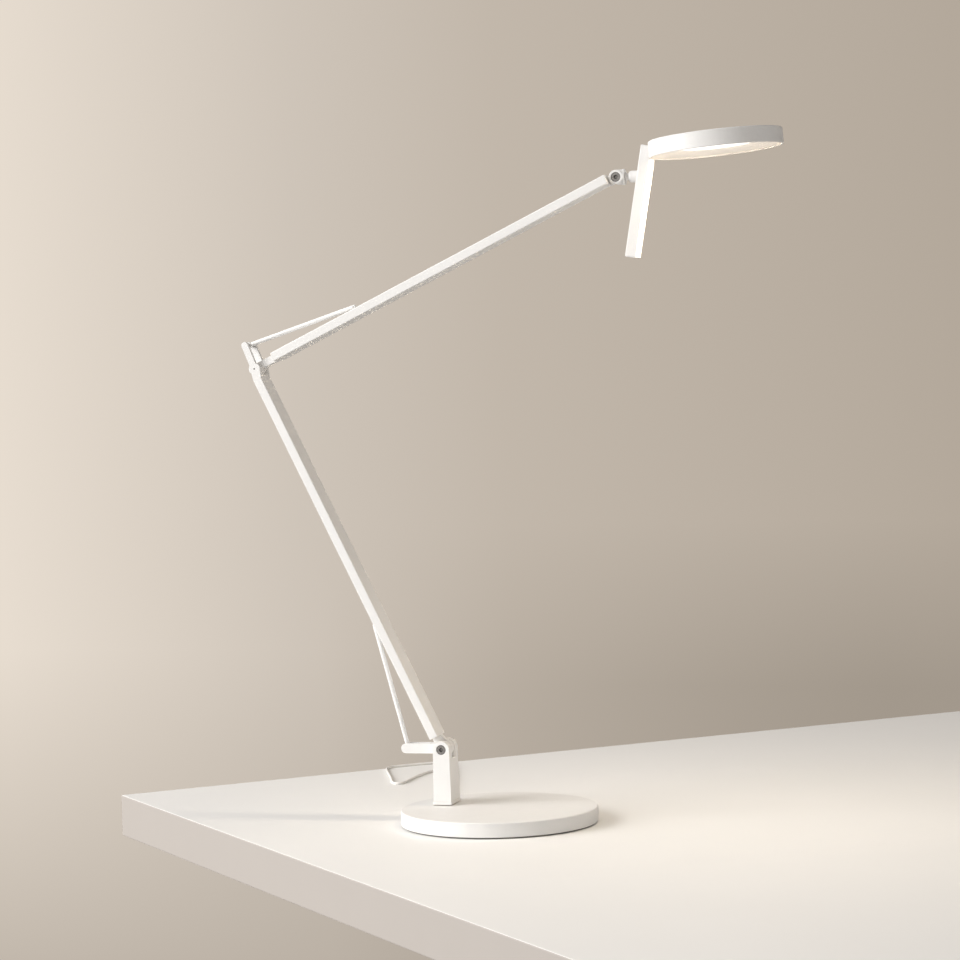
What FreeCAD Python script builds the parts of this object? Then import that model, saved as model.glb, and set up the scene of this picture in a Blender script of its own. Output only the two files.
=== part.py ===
import FreeCAD, Part

"""Spring-balanced desk lamp: a round weighted base, a swivelling post, two arms with
sliding carriages and thin pull rods, and a flat disc head with a handle bar.

World frame in millimetres: +Z up, origin at the centre of the base on the table, the
arms in a plane parallel to XZ with their front faces towards -Y.  Every arm piece is
drawn in its arm's own frame: the pivot at the origin, +Z along the arm, +X towards the
side away from the pull rod.
"""

import math
import os

import Sketcher
from FreeCAD import Placement, Rotation, Vector

DOC = FreeCAD.newDocument("desk_lamp")

SIZES = (
    ("base_diameter", 200.0, "across the base disc"),
    ("base_height", 16.2, "table to the top of the base"),
    ("base_bevel", 0.8, "bevel round the base cover"),
    ("cover_wall", 2.4, "skirt of the base cover"),
    ("cover_top", 3.0, "top plate of the base cover"),
    ("pad_thickness", 1.5, "rubber pad under the base"),
    ("pad_inset", 2.5, "how far the pad stays inside the rim"),
    ("weight_gap", 0.2, "ballast disc to skirt"),
    ("post_x", -61.3, "swivel axis from the base centre, sideways"),
    ("post_y", 19.8, "swivel axis from the base centre, backwards"),
    ("stud_diameter", 10.0, "swivel stud"),
    ("stud_bore", 5.0, "cable way through the stud"),
    ("bush_wall", 2.0, "wall of the swivel bush"),
    ("bush_flange", 18.0, "across the bush flange"),
    ("flange_thickness", 0.8, "bush flange above the cover"),
    ("running_gap", 0.05, "radial gap of every running fit"),
    ("face_gap", 0.1, "gap between flat faces that turn on each other"),
    ("clear_gap", 0.4, "gap between parts that pass each other"),
    ("fit_gap", 0.1, "gap of a plug inside its tube"),
    ("recess_diameter", 28.0, "nut recess under the ballast"),
    ("recess_depth", 5.6, "depth of the nut recess"),
    ("washer_diameter", 22.0, "swivel washer"),
    ("washer_thickness", 1.0, "swivel washer"),
    ("nut_across", 17.0, "swivel nut across corners"),
    ("nut_height", 3.2, "swivel nut"),
    ("cable_way", 5.0, "half height and half width of the cable channel"),
    ("foot_lip", 0.6, "foot plate beyond the post"),
    ("foot_height", 3.0, "foot plate of the post"),
    ("post_foot_width", 18.8, "post at its foot"),
    ("post_top_width", 17.0, "post at the pivot"),
    ("post_depth", 32.2, "post front to back"),
    ("pivot_height", 73.3, "table to the lower pivot"),
    ("fork_width", 13.4, "slot between the post cheeks"),
    ("fork_floor", 9.3, "slot floor below the pivot"),
    ("lever_reach", 39.2, "lower pivot to the pull rod pin"),
    ("lever_height", 10.0, "lever bar"),
    ("lever_slot", 6.8, "slot along the lever"),
    ("lever_eye", 8.0, "radius of the lever round the pivot"),
    ("web_start", 16.0, "lever web, near end from the pivot"),
    ("web_end", 27.0, "lever web, far end from the pivot"),
    ("screw_head", 9.8, "across the pivot screw heads"),
    ("screw_head_height", 3.6, "pivot screw heads"),
    ("screw_shank", 6.0, "lower pivot shank"),
    ("screw_recess", 0.4, "screw head below the cheek face"),
    ("socket_across", 4.6, "hexagon socket across corners"),
    ("socket_depth", 2.2, "hexagon socket"),
    ("arm_thickness", 9.2, "arm tubes, in the plane of swing"),
    ("arm_depth", 28.0, "arm tubes, front to back"),
    ("arm_wall", 1.2, "arm tubes"),
    ("arm_corner", 1.0, "corner radius of the arm tubes"),
    ("arm_offset", 2.1, "arm centre line beside the pivot line"),
    ("lower_length", 436.6, "lower pivot to elbow"),
    ("lower_lean", 25.7, "lean of the lower arm from upright"),
    ("upper_length", 426.1, "elbow to head pivot"),
    ("upper_rise", 25.1, "rise of the upper arm from level"),
    ("flange_height", 2.2, "end flanges of the arms"),
    ("plug_length", 18.0, "plugs inside the arm tubes"),
    ("foot_eye", 8.2, "radius of the lower arm's eye"),
    ("foot_eye_width", 6.4, "lower arm's eye, front to back"),
    ("foot_shoulder", 14.2, "lower pivot to the arm's shoulder"),
    ("elbow_drop", 11.2, "top of the lower arm's end flange below the elbow"),
    ("elbow_block", 3.0, "block between the elbow cheeks"),
    ("cheek_thickness", 4.5, "elbow cheeks"),
    ("cheek_eye", 5.9, "radius of the elbow cheeks"),
    ("ear_length", 26.4, "elbow to the ear pin"),
    ("ear_angle", 3.7, "ear from the arm's line"),
    ("ear_radius", 3.4, "round end of the ears"),
    ("axle_diameter", 5.0, "elbow axle"),
    ("axle_seat", 3.4, "depth of the axle in each cheek"),
    ("axle_tip", 1.8, "stub at each end of the elbow axle"),
    ("disc_washer", 1.1, "friction washers at the elbow"),
    ("neck_eye", 5.8, "radius of the upper arm's elbow barrel"),
    ("neck_width", 12.0, "upper arm's neck, front to back"),
    ("neck_top", 5.2, "neck from the pivot line, rod side"),
    ("neck_bottom", 2.4, "neck from the pivot line, other side"),
    ("neck_length", 23.0, "elbow to the upper arm's shoulder"),
    ("tip_drop", 9.0, "end of the upper arm before the head pivot"),
    ("tip_eye", 5.2, "radius of the upper arm's tip eye"),
    ("tip_width", 5.8, "tip eye, front to back"),
    ("carriage_length", 22.0, "sliding carriages"),
    ("carriage_width", 12.0, "sliding carriages, front to back"),
    ("slide_gap", 0.2, "carriage to tube wall"),
    ("slot_width", 3.2, "slot in the arm tube"),
    ("slot_travel", 34.0, "slot each way from the carriage"),
    ("lug_thickness", 2.0, "lug of a carriage"),
    ("lug_reach", 3.3, "rod pin outside the arm's face"),
    ("lug_eye", 2.1, "round end of a lug"),
    ("lug_half_length", 7.0, "half length of a lug at its root"),
    ("rod_diameter", 4.6, "pull rods"),
    ("rod_pin", 1.6, "pins at the carriages"),
    ("rod_eye", 3.4, "eye at the far end of a rod"),
    ("rod_fork_depth", 9.0, "slot in the rod's fork end"),
    ("rod_end", 2.6, "rod beyond its carriage pin"),
    ("lower_rod_length", 129.6, "pin to pin"),
    ("upper_rod_length", 120.8, "pin to pin"),
    ("lever_pin", 3.0, "pin at the lever"),
    ("ear_pin", 4.0, "pin between the ears"),
    ("draw_rod", 3.0, "draw rods inside the arms"),
    ("draw_reach", 90.0, "carriage centre to the end of its draw rod"),
    ("cartridge_diameter", 6.0, "spring cartridges"),
    ("cartridge_start", 29.0, "carriage centre to the cartridge"),
    ("cartridge_length", 150.0, "spring cartridges"),
    ("cartridge_bore", 79.0, "depth of the cartridge bore"),
    ("cartridge_block", 12.0, "block that holds a cartridge"),
    ("knuckle_radius", 7.0, "drum round the head pivot"),
    ("knuckle_width", 16.0, "drum, front to back"),
    ("knuckle_reach", 8.2, "head pivot to the knuckle's neck face"),
    ("knuckle_web", 2.6, "knuckle between its slot and its neck face"),
    ("knuckle_body", 8.0, "radius of the knuckle's neck end"),
    ("head_head", 9.4, "across the head pivot screw"),
    ("head_head_height", 2.4, "head pivot screw"),
    ("head_shank", 4.0, "head pivot shank"),
    ("spindle_diameter", 5.0, "neck spindle"),
    ("spindle_head", 6.0, "nut on the neck spindle"),
    ("spindle_nut", 2.5, "length of that nut"),
    ("collar_throat", 3.4, "thin part of the neck collar"),
    ("collar_radius", 5.9, "neck collar"),
    ("collar_shoulder", 12.0, "head pivot to the collar's shoulder"),
    ("neck_reach", 21.9, "head pivot to the handle's face"),
    ("stem_lean", 9.9, "lean of the handle bar from upright"),
    ("stem_thickness", 11.2, "handle bar, in the plane of swing"),
    ("stem_depth", 22.4, "handle bar, front to back"),
    ("stem_wall", 1.4, "handle bar"),
    ("stem_up", 31.4, "handle bar above the neck"),
    ("stem_down", 80.7, "handle bar below the neck"),
    ("stem_cap", 2.4, "end caps of the handle bar"),
    ("stem_bore", 6.0, "hole for the spindle in the handle bar"),
    ("head_diameter", 133.4, "disc head"),
    ("head_thickness", 16.2, "disc head"),
    ("head_rise", 4.5, "rise of the disc away from the handle"),
    ("head_reach", 79.3, "neck face to the disc centre"),
    ("head_lift", 21.5, "neck to the lower face of the disc centre"),
    ("head_bevel", 0.9, "bevel round the top of the disc"),
    ("head_wall", 2.2, "rim of the disc"),
    ("head_top", 2.4, "top plate of the disc"),
    ("seat_step", 1.4, "step that the reflector rests on"),
    ("seat_height", 3.0, "lower face to that step"),
    ("reflector_drop", 0.8, "rim's lower edge to the reflector"),
    ("diffuser_diameter", 68.0, "diffuser"),
    ("diffuser_rise", 5.0, "diffuser above the rim's lower edge"),
    ("diffuser_thickness", 1.4, "diffuser"),
    ("board_diameter", 60.0, "light board"),
    ("board_thickness", 1.6, "light board"),
    ("sink_diameter", 80.0, "heat spreader"),
    ("sink_thickness", 3.4, "heat spreader"),
    ("gland_angle", 130.0, "where the cord leaves the rim"),
    ("gland_height", 4.8, "cord axis at the rim"),
    ("gland_block", 6.0, "block of the strain relief"),
    ("gland_length", 22.0, "strain relief outside the rim"),
    ("gland_tip", 4.2, "across the strain relief's tip"),
    ("cord_diameter", 2.8, "supply cord"),
    ("coil_x", -22.0, "centre of the coiled cord"),
    ("coil_y", 128.0, "centre of the coiled cord"),
    ("coil_radius", 22.0, "outermost turn of the coil"),
    ("coil_turns", 4.0, "turns in each of the two layers"),
    ("coil_pitch", 3.3, "turn to turn and layer to layer"),
    ("plug_body", 8.4, "across the barrel connector"),
    ("plug_body_length", 20.0, "grip of the connector"),
    ("plug_relief", 12.0, "relief of the connector"),
    ("plug_barrel", 5.5, "across the metal barrel"),
    ("plug_barrel_length", 10.0, "metal barrel"),
)

SHEET = DOC.addObject("Spreadsheet::Sheet", "sizes")
for number, (alias, amount, meaning) in enumerate(SIZES, start=1):
    SHEET.set("A%d" % number, alias)
    SHEET.set("B%d" % number, str(amount))
    SHEET.set("C%d" % number, meaning)
    SHEET.setAlias("B%d" % number, alias)
DOC.recompute()


class Size:
    """A length that carries its value and the sheet formula that gives it."""

    def __init__(self, value, formula):
        self.value = float(value)
        self.formula = formula

    def __float__(self):
        return self.value

    def __neg__(self):
        return Size(-self.value, "(-1 * %s)" % self.formula)

    def __add__(self, other):
        other = as_size(other)
        return Size(self.value + other.value, "(%s + %s)" % (self.formula, other.formula))

    def __radd__(self, other):
        return as_size(other) + self

    def __sub__(self, other):
        other = as_size(other)
        return Size(self.value - other.value, "(%s - %s)" % (self.formula, other.formula))

    def __rsub__(self, other):
        return as_size(other) - self

    def __mul__(self, other):
        other = as_size(other)
        return Size(self.value * other.value, "(%s * %s)" % (self.formula, other.formula))

    def __rmul__(self, other):
        return as_size(other) * self

    def __truediv__(self, other):
        other = as_size(other)
        return Size(self.value / other.value, "(%s / %s)" % (self.formula, other.formula))


def as_size(amount):
    """The same amount as a Size, when it is a plain number."""
    if isinstance(amount, Size):
        return amount
    return Size(amount, "(%.6f)" % float(amount))


def size(alias):
    """A driving dimension of the sheet."""
    return Size(SHEET.get(alias), "sizes." + alias)


def sine(angle):
    return Size(math.sin(math.radians(float(angle))), "sin(%s)" % angle.formula)


def cosine(angle):
    return Size(math.cos(math.radians(float(angle))), "cos(%s)" % angle.formula)


class Loop:
    """A closed outline of straight lines through the given corners."""

    def __init__(self, *corners):
        self.corners = corners

    def draw(self, sketch):
        count = len(self.corners)
        places = [Vector(float(x), float(y), 0) for x, y in self.corners]
        first = sketch.GeometryCount
        for index in range(count):
            line = Part.LineSegment(places[index], places[(index + 1) % count])
            sketch.addGeometry(line, False)
        for index in range(count):
            following = first + (index + 1) % count
            sketch.addConstraint(Sketcher.Constraint("Coincident", first + index, 2, following, 1))
        for index, corner in enumerate(self.corners):
            pin_point(sketch, first + index, 1, corner)


class Disc:
    """A full circle."""

    def __init__(self, radius, centre=(0.0, 0.0)):
        self.radius = as_size(radius)
        self.centre = centre

    def draw(self, sketch):
        middle = Vector(float(self.centre[0]), float(self.centre[1]), 0)
        circle = Part.Circle(middle, Vector(0, 0, 1), float(self.radius))
        index = sketch.addGeometry(circle, False)
        pin_point(sketch, index, 3, self.centre)
        bind(sketch, sketch.addConstraint(Sketcher.Constraint("Radius", index, float(self.radius))), self.radius)


class Hull:
    """Two circles joined by their outer tangents."""

    def __init__(self, centre_a, radius_a, centre_b, radius_b):
        self.ends = ((centre_a, as_size(radius_a)), (centre_b, as_size(radius_b)))

    def draw(self, sketch):
        (centre_a, radius_a), (centre_b, radius_b) = self.ends
        a = Vector(float(centre_a[0]), float(centre_a[1]), 0)
        b = Vector(float(centre_b[0]), float(centre_b[1]), 0)
        along = math.atan2(b.y - a.y, b.x - a.x)
        spread = math.acos((float(radius_a) - float(radius_b)) / (b - a).Length)

        def rim(middle, radius, angle):
            return middle + Vector(math.cos(angle), math.sin(angle), 0) * float(radius)

        low = along - spread
        high = along + spread
        normal = Vector(0, 0, 1)
        shapes = (
            Part.LineSegment(rim(a, radius_a, low), rim(b, radius_b, low)),
            Part.ArcOfCircle(Part.Circle(b, normal, float(radius_b)), low, high),
            Part.LineSegment(rim(b, radius_b, high), rim(a, radius_a, high)),
            Part.ArcOfCircle(Part.Circle(a, normal, float(radius_a)), high, low + 2 * math.pi),
        )
        lower, arc_b, upper, arc_a = [sketch.addGeometry(shape, False) for shape in shapes]
        joints = ((lower, 2, arc_b, 1), (arc_b, 2, upper, 1), (upper, 2, arc_a, 1), (arc_a, 2, lower, 1))
        for joint in joints:
            sketch.addConstraint(Sketcher.Constraint("Tangent", *joint))
        for arc, centre, radius in ((arc_a, centre_a, radius_a), (arc_b, centre_b, radius_b)):
            pin_point(sketch, arc, 3, centre)
            bind(sketch, sketch.addConstraint(Sketcher.Constraint("Radius", arc, float(radius))), radius)


def bind(sketch, index, amount):
    """Tie one dimension of a sketch to the sheet."""
    if "sizes." in amount.formula:
        sketch.setExpression("Constraints[%d]" % index, amount.formula)


def pin_point(sketch, geometry, point, place):
    """Fix a point of a sketch by its distances from the sketch's origin."""
    for kind, amount in (("DistanceX", place[0]), ("DistanceY", place[1])):
        amount = as_size(amount)
        constraint = Sketcher.Constraint(kind, -1, 1, geometry, point, amount.value)
        bind(sketch, sketch.addConstraint(constraint), amount)


def oblong(x0, x1, y0, y1):
    """A rectangle between two abscissas and two ordinates."""
    return Loop((x0, y0), (x1, y0), (x1, y1), (x0, y1))


PIECES = []


class Piece:
    """One solid of the lamp: a body made of sketched features in its own frame."""

    def __init__(self, label, frame=Placement()):
        self.body = DOC.addObject("PartDesign::Body", label)
        self.body.Label = label
        self.label = label
        self.count = 0
        self.body.Placement = frame
        PIECES.append(self.body)

    def sketch(self, plane, outlines, level):
        """A sketch on a plane parallel to one of the body's origin planes."""
        self.count += 1
        sketch = self.body.newObject("Sketcher::SketchObject", "%s_sketch_%d" % (self.label, self.count))
        for feature in self.body.Origin.OriginFeatures:
            if feature.Role == plane + "_Plane":
                sketch.AttachmentSupport = [(feature, "")]
        sketch.MapMode = "FlatFace"
        level = as_size(level)
        sketch.AttachmentOffset = Placement(Vector(0, 0, level.value), Rotation())
        if "sizes." in level.formula:
            sketch.setExpression(".AttachmentOffset.Base.z", level.formula)
        for outline in outlines:
            outline.draw(sketch)
        return sketch

    def slab(self, kind, plane, outlines, start, end):
        """Pad or pocket between two levels along the plane's world axis."""
        start = as_size(start)
        end = as_size(end)
        level = -end if plane == "XZ" else start
        sketch = self.sketch(plane, outlines, level)
        feature = self.body.newObject("PartDesign::" + kind, "%s_%s_%d" % (self.label, kind, self.count))
        feature.Profile = sketch
        depth = end - start
        feature.Length = depth.value
        if "sizes." in depth.formula:
            feature.setExpression("Length", depth.formula)
        sketch.Visibility = False
        return feature

    def add(self, plane, outline, start, end):
        self.slab("Pad", plane, [outline], start, end)
        DOC.recompute()
        return self

    def cut(self, plane, outline, start, end):
        before = self.body.Shape.Volume
        feature = self.slab("Pocket", plane, [outline], start, end)
        feature.Reversed = True
        DOC.recompute()
        if not self.body.Shape.Volume < before - 1e-4:
            raise RuntimeError("%s: a pocket removed nothing" % self.label)
        return self

    def turn(self, outline, axis="V_Axis"):
        """Revolve an outline of the XZ plane about the body's Z axis, or about its X axis."""
        sketch = self.sketch("XZ", [outline], 0.0)
        feature = self.body.newObject("PartDesign::Revolution", "%s_turn_%d" % (self.label, self.count))
        feature.Profile = sketch
        feature.ReferenceAxis = (sketch, [axis])
        feature.Angle = 360
        DOC.recompute()
        return self

    def soften(self, kind, amount, choose):
        """Fillet or chamfer the edges that the test picks, in the body's own frame."""
        tip = self.body.Tip
        names = ["Edge%d" % n for n, edge in enumerate(tip.Shape.Edges, start=1) if choose(edge)]
        if not names:
            raise RuntimeError("%s: no edge to soften" % self.label)
        feature = self.body.newObject("PartDesign::" + kind, "%s_%s_%d" % (self.label, kind, self.count))
        feature.Base = (tip, names)
        prop = "Radius" if kind == "Fillet" else "Size"
        setattr(feature, prop, amount.value)
        feature.setExpression(prop, amount.formula)
        DOC.recompute()
        return self


def runs_along(edge, axis):
    """Whether a straight edge is parallel to a named axis."""
    box = edge.BoundBox
    spans = {"x": box.XLength, "y": box.YLength, "z": box.ZLength}
    return spans.pop(axis) > 1e-3 and max(spans.values()) < 1e-4


# Frames ---------------------------------------------------------------------------

Y_AXIS = Vector(0, 1, 0)
UP = Vector(0, 0, 1)
POST_FRAME = Placement(Vector(float(size("post_x")), float(size("post_y")), 0), Rotation())
PIVOT = Vector(float(size("post_x")), float(size("post_y")), float(size("pivot_height")))
LOWER_FRAME = Placement(PIVOT, Rotation(Y_AXIS, -float(size("lower_lean"))))
ELBOW = LOWER_FRAME.multVec(Vector(0, 0, float(size("lower_length"))))
UPPER_FRAME = Placement(ELBOW, Rotation(Y_AXIS, 90 - float(size("upper_rise"))))
HEAD_PIVOT = UPPER_FRAME.multVec(Vector(0, 0, float(size("upper_length"))))
KNUCKLE_FRAME = Placement(HEAD_PIVOT, Rotation())
NECK = HEAD_PIVOT + Vector(float(size("neck_reach")), 0, 0)
STEM_FRAME = Placement(NECK, Rotation(Y_AXIS, float(size("stem_lean"))))
DISC_CENTRE = NECK + Vector(float(size("head_reach")), 0, float(size("head_lift")))
DISC_FRAME = Placement(DISC_CENTRE, Rotation(Y_AXIS, -float(size("head_rise"))))

ARM_LEFT = -(size("arm_offset") + size("arm_thickness") / 2)
ARM_RIGHT = size("arm_thickness") / 2 - size("arm_offset")
ARM_BACK = size("arm_depth") / 2
BORE_LEFT = ARM_LEFT + size("arm_wall")
BORE_RIGHT = ARM_RIGHT - size("arm_wall")
BORE_BACK = ARM_BACK - size("arm_wall")
PIN_OFFSET = ARM_LEFT - size("lug_reach")


def carriage_place(frame, anchor, rod_length):
    """How far along an arm its carriage sits when its rod reaches the anchor."""
    local = frame.inverse().multVec(anchor)
    across = float(PIN_OFFSET) - local.x
    return local.z + math.sqrt(float(rod_length) ** 2 - across ** 2)


LEVER_PIN = PIVOT - Vector(float(size("lever_reach")), 0, 0)
EAR_X = size("ear_length") * sine(size("ear_angle"))
EAR_Z = size("ear_length") * cosine(size("ear_angle"))
EAR_PIN = LOWER_FRAME.multVec(Vector(float(EAR_X), 0, float(size("lower_length") + EAR_Z)))
LOWER_SEAT = carriage_place(LOWER_FRAME, LEVER_PIN, size("lower_rod_length"))
UPPER_SEAT = carriage_place(UPPER_FRAME, EAR_PIN, size("upper_rod_length"))


def along(frame, distance):
    """A frame moved along its own Z axis."""
    return frame.multiply(Placement(Vector(0, 0, distance), Rotation()))


def rod_frame(frame, seat, anchor):
    """Frame of a pull rod: the carriage pin at the origin, +Z towards the anchor."""
    pin = frame.multVec(Vector(float(PIN_OFFSET), 0, seat))
    return Placement(pin, Rotation(UP, anchor - pin))


# Base -------------------------------------------------------------------------------

def make_base():
    radius = size("base_diameter") / 2
    top = size("base_height")
    bevel = size("base_bevel")
    floor = size("pad_thickness")
    inner = radius - size("cover_wall")
    ceiling = top - size("cover_top")
    axis = (size("post_x"), size("post_y"))
    bush_radius = size("stud_diameter") / 2 + size("running_gap") + size("bush_wall")
    recess_top = floor + size("recess_depth")

    cover = Piece("base_cover")
    cover.turn(Loop(
        (0, ceiling), (inner, ceiling), (inner, floor), (radius - bevel / 2, floor),
        (radius, floor + bevel / 2), (radius, top - bevel), (radius - bevel, top), (0, top)))
    cover.cut("XY", Disc(bush_radius, axis), ceiling, top)
    notch = rim_notch(size("gland_block") / 2)
    cover.cut("XY", notch, floor, size("gland_height") + size("gland_block") / 2)

    weight = Piece("base_weight")
    weight.add("XY", Disc(inner - size("weight_gap")), floor, ceiling)
    weight.cut("XY", Disc(size("recess_diameter") / 2, axis), floor, recess_top)
    weight.cut("XY", Disc(bush_radius, axis), recess_top, ceiling)
    way = size("cable_way")
    exit_place = gland_point(-float(size("cover_wall")) - 10.0)
    channel = Hull(axis, way, exit_place, way)
    weight.cut("XY", channel, floor, floor + way)
    weight.cut("XY", notch, floor, size("gland_height") + size("gland_block") / 2)

    pad = Piece("base_pad")
    pad.add("XY", Disc(radius - size("pad_inset")), 0, floor)
    pad.cut("XY", Disc(size("recess_diameter") / 2, axis), 0, floor)

    bush = Piece("swivel_bush", POST_FRAME)
    bush.add("XY", Disc(bush_radius), recess_top, top)
    bush.add("XY", Disc(size("bush_flange") / 2), top, top + size("flange_thickness"))
    bush.cut("XY", Disc(size("stud_diameter") / 2 + size("running_gap")), recess_top,
             top + size("flange_thickness"))


def gland_point(distance):
    """A point on the gland's axis, measured outwards from the rim, seen from above."""
    angle = math.radians(float(size("gland_angle")))
    reach = float(size("base_diameter")) / 2 + distance
    return (reach * math.cos(angle), reach * math.sin(angle))


def rim_notch(half_width):
    """The notch through the rim for the strain relief, seen from above."""
    angle = math.radians(float(size("gland_angle")))
    side = Vector(-math.sin(angle), math.cos(angle), 0) * float(half_width)
    corners = []
    for distance, sign in ((-12.0, -1), (2.0, -1), (2.0, 1), (-12.0, 1)):
        x, y = gland_point(distance)
        corners.append((x + sign * side.x, y + sign * side.y))
    return Loop(*corners)


def make_gland():
    x, y = gland_point(0.0)
    turn = Rotation(UP, float(size("gland_angle")))
    frame = Placement(Vector(x, y, float(size("gland_height"))), turn)
    half = size("gland_block") / 2
    gland = Piece("cord_gland", frame)
    gland.add("YZ", oblong(-half, half, -half, half), -11.8, 0.6)
    profile = Loop((0.0, 0.0), (size("gland_length"), 0.0), (size("gland_length"), size("gland_tip") / 2),
                   (0.0, half))
    gland.turn(profile, "H_Axis")


# Post -------------------------------------------------------------------------------

def make_post():
    base_top = size("base_height") + size("flange_thickness") + size("face_gap")
    foot_top = base_top + size("foot_height")
    half_depth = size("post_depth") / 2
    half_foot = size("post_foot_width") / 2
    half_top = size("post_top_width") / 2
    pivot = size("pivot_height")
    axis = (0.0, pivot)
    stud = size("stud_diameter") / 2
    lip = size("foot_lip")

    foot = Piece("post_foot", POST_FRAME)
    foot.add("XY", oblong(-half_foot - lip, half_foot + lip, -half_depth - lip, half_depth + lip),
             base_top, foot_top)
    foot.soften("Fillet", size("foot_lip"), lambda edge: runs_along(edge, "z"))
    foot.cut("XY", Disc(stud), base_top, foot_top)

    post = Piece("post", POST_FRAME)
    post.add("XZ", Loop((-half_foot, foot_top), (half_foot, foot_top), (half_top, pivot), (-half_top, pivot)),
             -half_depth, half_depth)
    post.add("XZ", Disc(half_top, axis), -half_depth, half_depth)
    half_fork = size("fork_width") / 2
    post.cut("YZ", oblong(-half_fork, half_fork, pivot - size("fork_floor"), pivot + half_top + 1.0),
             -half_foot, half_foot)
    post.cut("XZ", Disc(size("screw_shank") / 2, axis), -half_depth, half_depth)
    counterbore = size("screw_head") / 2 + size("face_gap")
    sunk = size("screw_head_height") + size("screw_recess")
    post.cut("XZ", Disc(counterbore, axis), -half_depth, sunk - half_depth)
    post.cut("XZ", Disc(counterbore, axis), half_depth - sunk, half_depth)
    stud_top = foot_top + 14.0
    post.cut("XY", Disc(stud), foot_top, stud_top)
    post.cut("XY", Disc(size("stud_bore") / 2), stud_top, pivot - size("fork_floor"))

    make_lever(pivot)
    make_pivot_screw("lower_pivot", Placement(PIVOT, Rotation()), half_depth - size("screw_recess"),
                     size("screw_head"), size("screw_head_height"), size("screw_shank"))
    make_swivel(base_top, stud_top)


def make_lever(pivot):
    """The lever: a slotted bar with a square heel that sits on the floor of the fork."""
    half = size("fork_width") / 2 - size("face_gap")
    tip = -size("lever_reach") - 1.0
    half_height = size("lever_height") / 2
    eye = size("lever_eye")
    heel = size("fork_floor")
    slot = size("lever_slot") / 2
    lever = Piece("lever", POST_FRAME)
    lever.add("XZ", Hull((-eye, pivot), half_height, (tip, pivot), half_height), -half, half)
    lever.add("XZ", Disc(eye, (0.0, pivot)), -half, half)
    lever.add("XZ", oblong(-eye, eye, pivot - heel, pivot), -half, half)
    lever.cut("XY", oblong(tip - half_height - 1.0, -size("web_end"), -slot, slot), pivot - heel, pivot + eye)
    lever.cut("XY", oblong(-size("web_start"), eye + 1.0, -slot, slot), pivot - heel, pivot + eye)
    lever.cut("XZ", Disc(size("screw_shank") / 2, (0.0, pivot)), -half, half)


def make_pivot_screw(name, frame, reach, head, head_height, shank):
    """A socket screw with its head in front and a round nut of the same look behind."""
    screw = Piece(name + "_screw", frame)
    screw.add("XZ", Disc(head / 2), -reach, head_height - reach)
    screw.add("XZ", Disc(shank / 2), head_height - reach, reach - head_height / 4)
    screw.soften("Chamfer", size("screw_recess"), lambda edge: is_rim(edge, -float(reach), float(head) / 2))
    socket = size("socket_across") / 2
    screw.cut("XZ", hexagon(socket), -reach, size("socket_depth") - reach)
    nut = Piece(name + "_nut", frame)
    nut.add("XZ", Disc(head / 2), reach - head_height, reach)
    nut.cut("XZ", Disc(shank / 2), reach - head_height, reach - head_height / 4)
    nut.soften("Chamfer", size("screw_recess"), lambda edge: is_rim(edge, float(reach), float(head) / 2))


def is_rim(edge, level, radius):
    """Whether an edge is the circle of this radius at this level along Y."""
    box = edge.BoundBox
    flat = abs(box.YMin - level) < 1e-4 and abs(box.YMax - level) < 1e-4
    return flat and abs(box.XLength - 2 * radius) < 1e-3


def hexagon(corner):
    """A regular hexagon round the origin."""
    points = []
    for step in range(6):
        angle = Size(60.0 * step, "(%.1f)" % (60.0 * step))
        points.append((corner * cosine(angle), corner * sine(angle)))
    return Loop(*points)


def make_swivel(base_top, stud_top):
    """The stud that the post turns on, with its washer and nut under the ballast."""
    recess_top = size("pad_thickness") + size("recess_depth")
    washer_bottom = recess_top - size("face_gap") - size("washer_thickness")
    nut_bottom = washer_bottom - size("nut_height")
    stud = Piece("swivel_stud", POST_FRAME)
    stud.add("XY", Disc(size("stud_diameter") / 2), nut_bottom - 0.6, stud_top)
    stud.cut("XY", Disc(size("stud_bore") / 2), nut_bottom - 0.6, stud_top)
    washer = Piece("swivel_washer", POST_FRAME)
    washer.add("XY", Disc(size("washer_diameter") / 2), washer_bottom, washer_bottom + size("washer_thickness"))
    washer.cut("XY", Disc(size("stud_diameter") / 2), washer_bottom, washer_bottom + size("washer_thickness"))
    nut = Piece("swivel_nut", POST_FRAME)
    nut.add("XY", hexagon(size("nut_across") / 2), nut_bottom, washer_bottom)
    nut.cut("XY", Disc(size("stud_diameter") / 2), nut_bottom, washer_bottom)


# Arms -------------------------------------------------------------------------------

def arm_section():
    return oblong(ARM_LEFT, ARM_RIGHT, -ARM_BACK, ARM_BACK)


def plug_section():
    gap = size("fit_gap")
    return oblong(BORE_LEFT + gap, BORE_RIGHT - gap, gap - BORE_BACK, BORE_BACK - gap)


def make_tube(name, frame, start, end, seat):
    """A rectangular arm tube with the carriage's slot in its rod side."""
    tube = Piece(name, frame)
    tube.add("XY", arm_section(), start, end)
    tube.soften("Fillet", size("arm_corner"), lambda edge: runs_along(edge, "z"))
    tube.cut("XY", oblong(BORE_LEFT, BORE_RIGHT, -BORE_BACK, BORE_BACK), start, end)
    slot = size("slot_width") / 2
    travel = size("slot_travel")
    tube.cut("YZ", oblong(-slot, slot, seat - travel, seat + travel), ARM_LEFT - 1.0, BORE_LEFT + 0.1)


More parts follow.
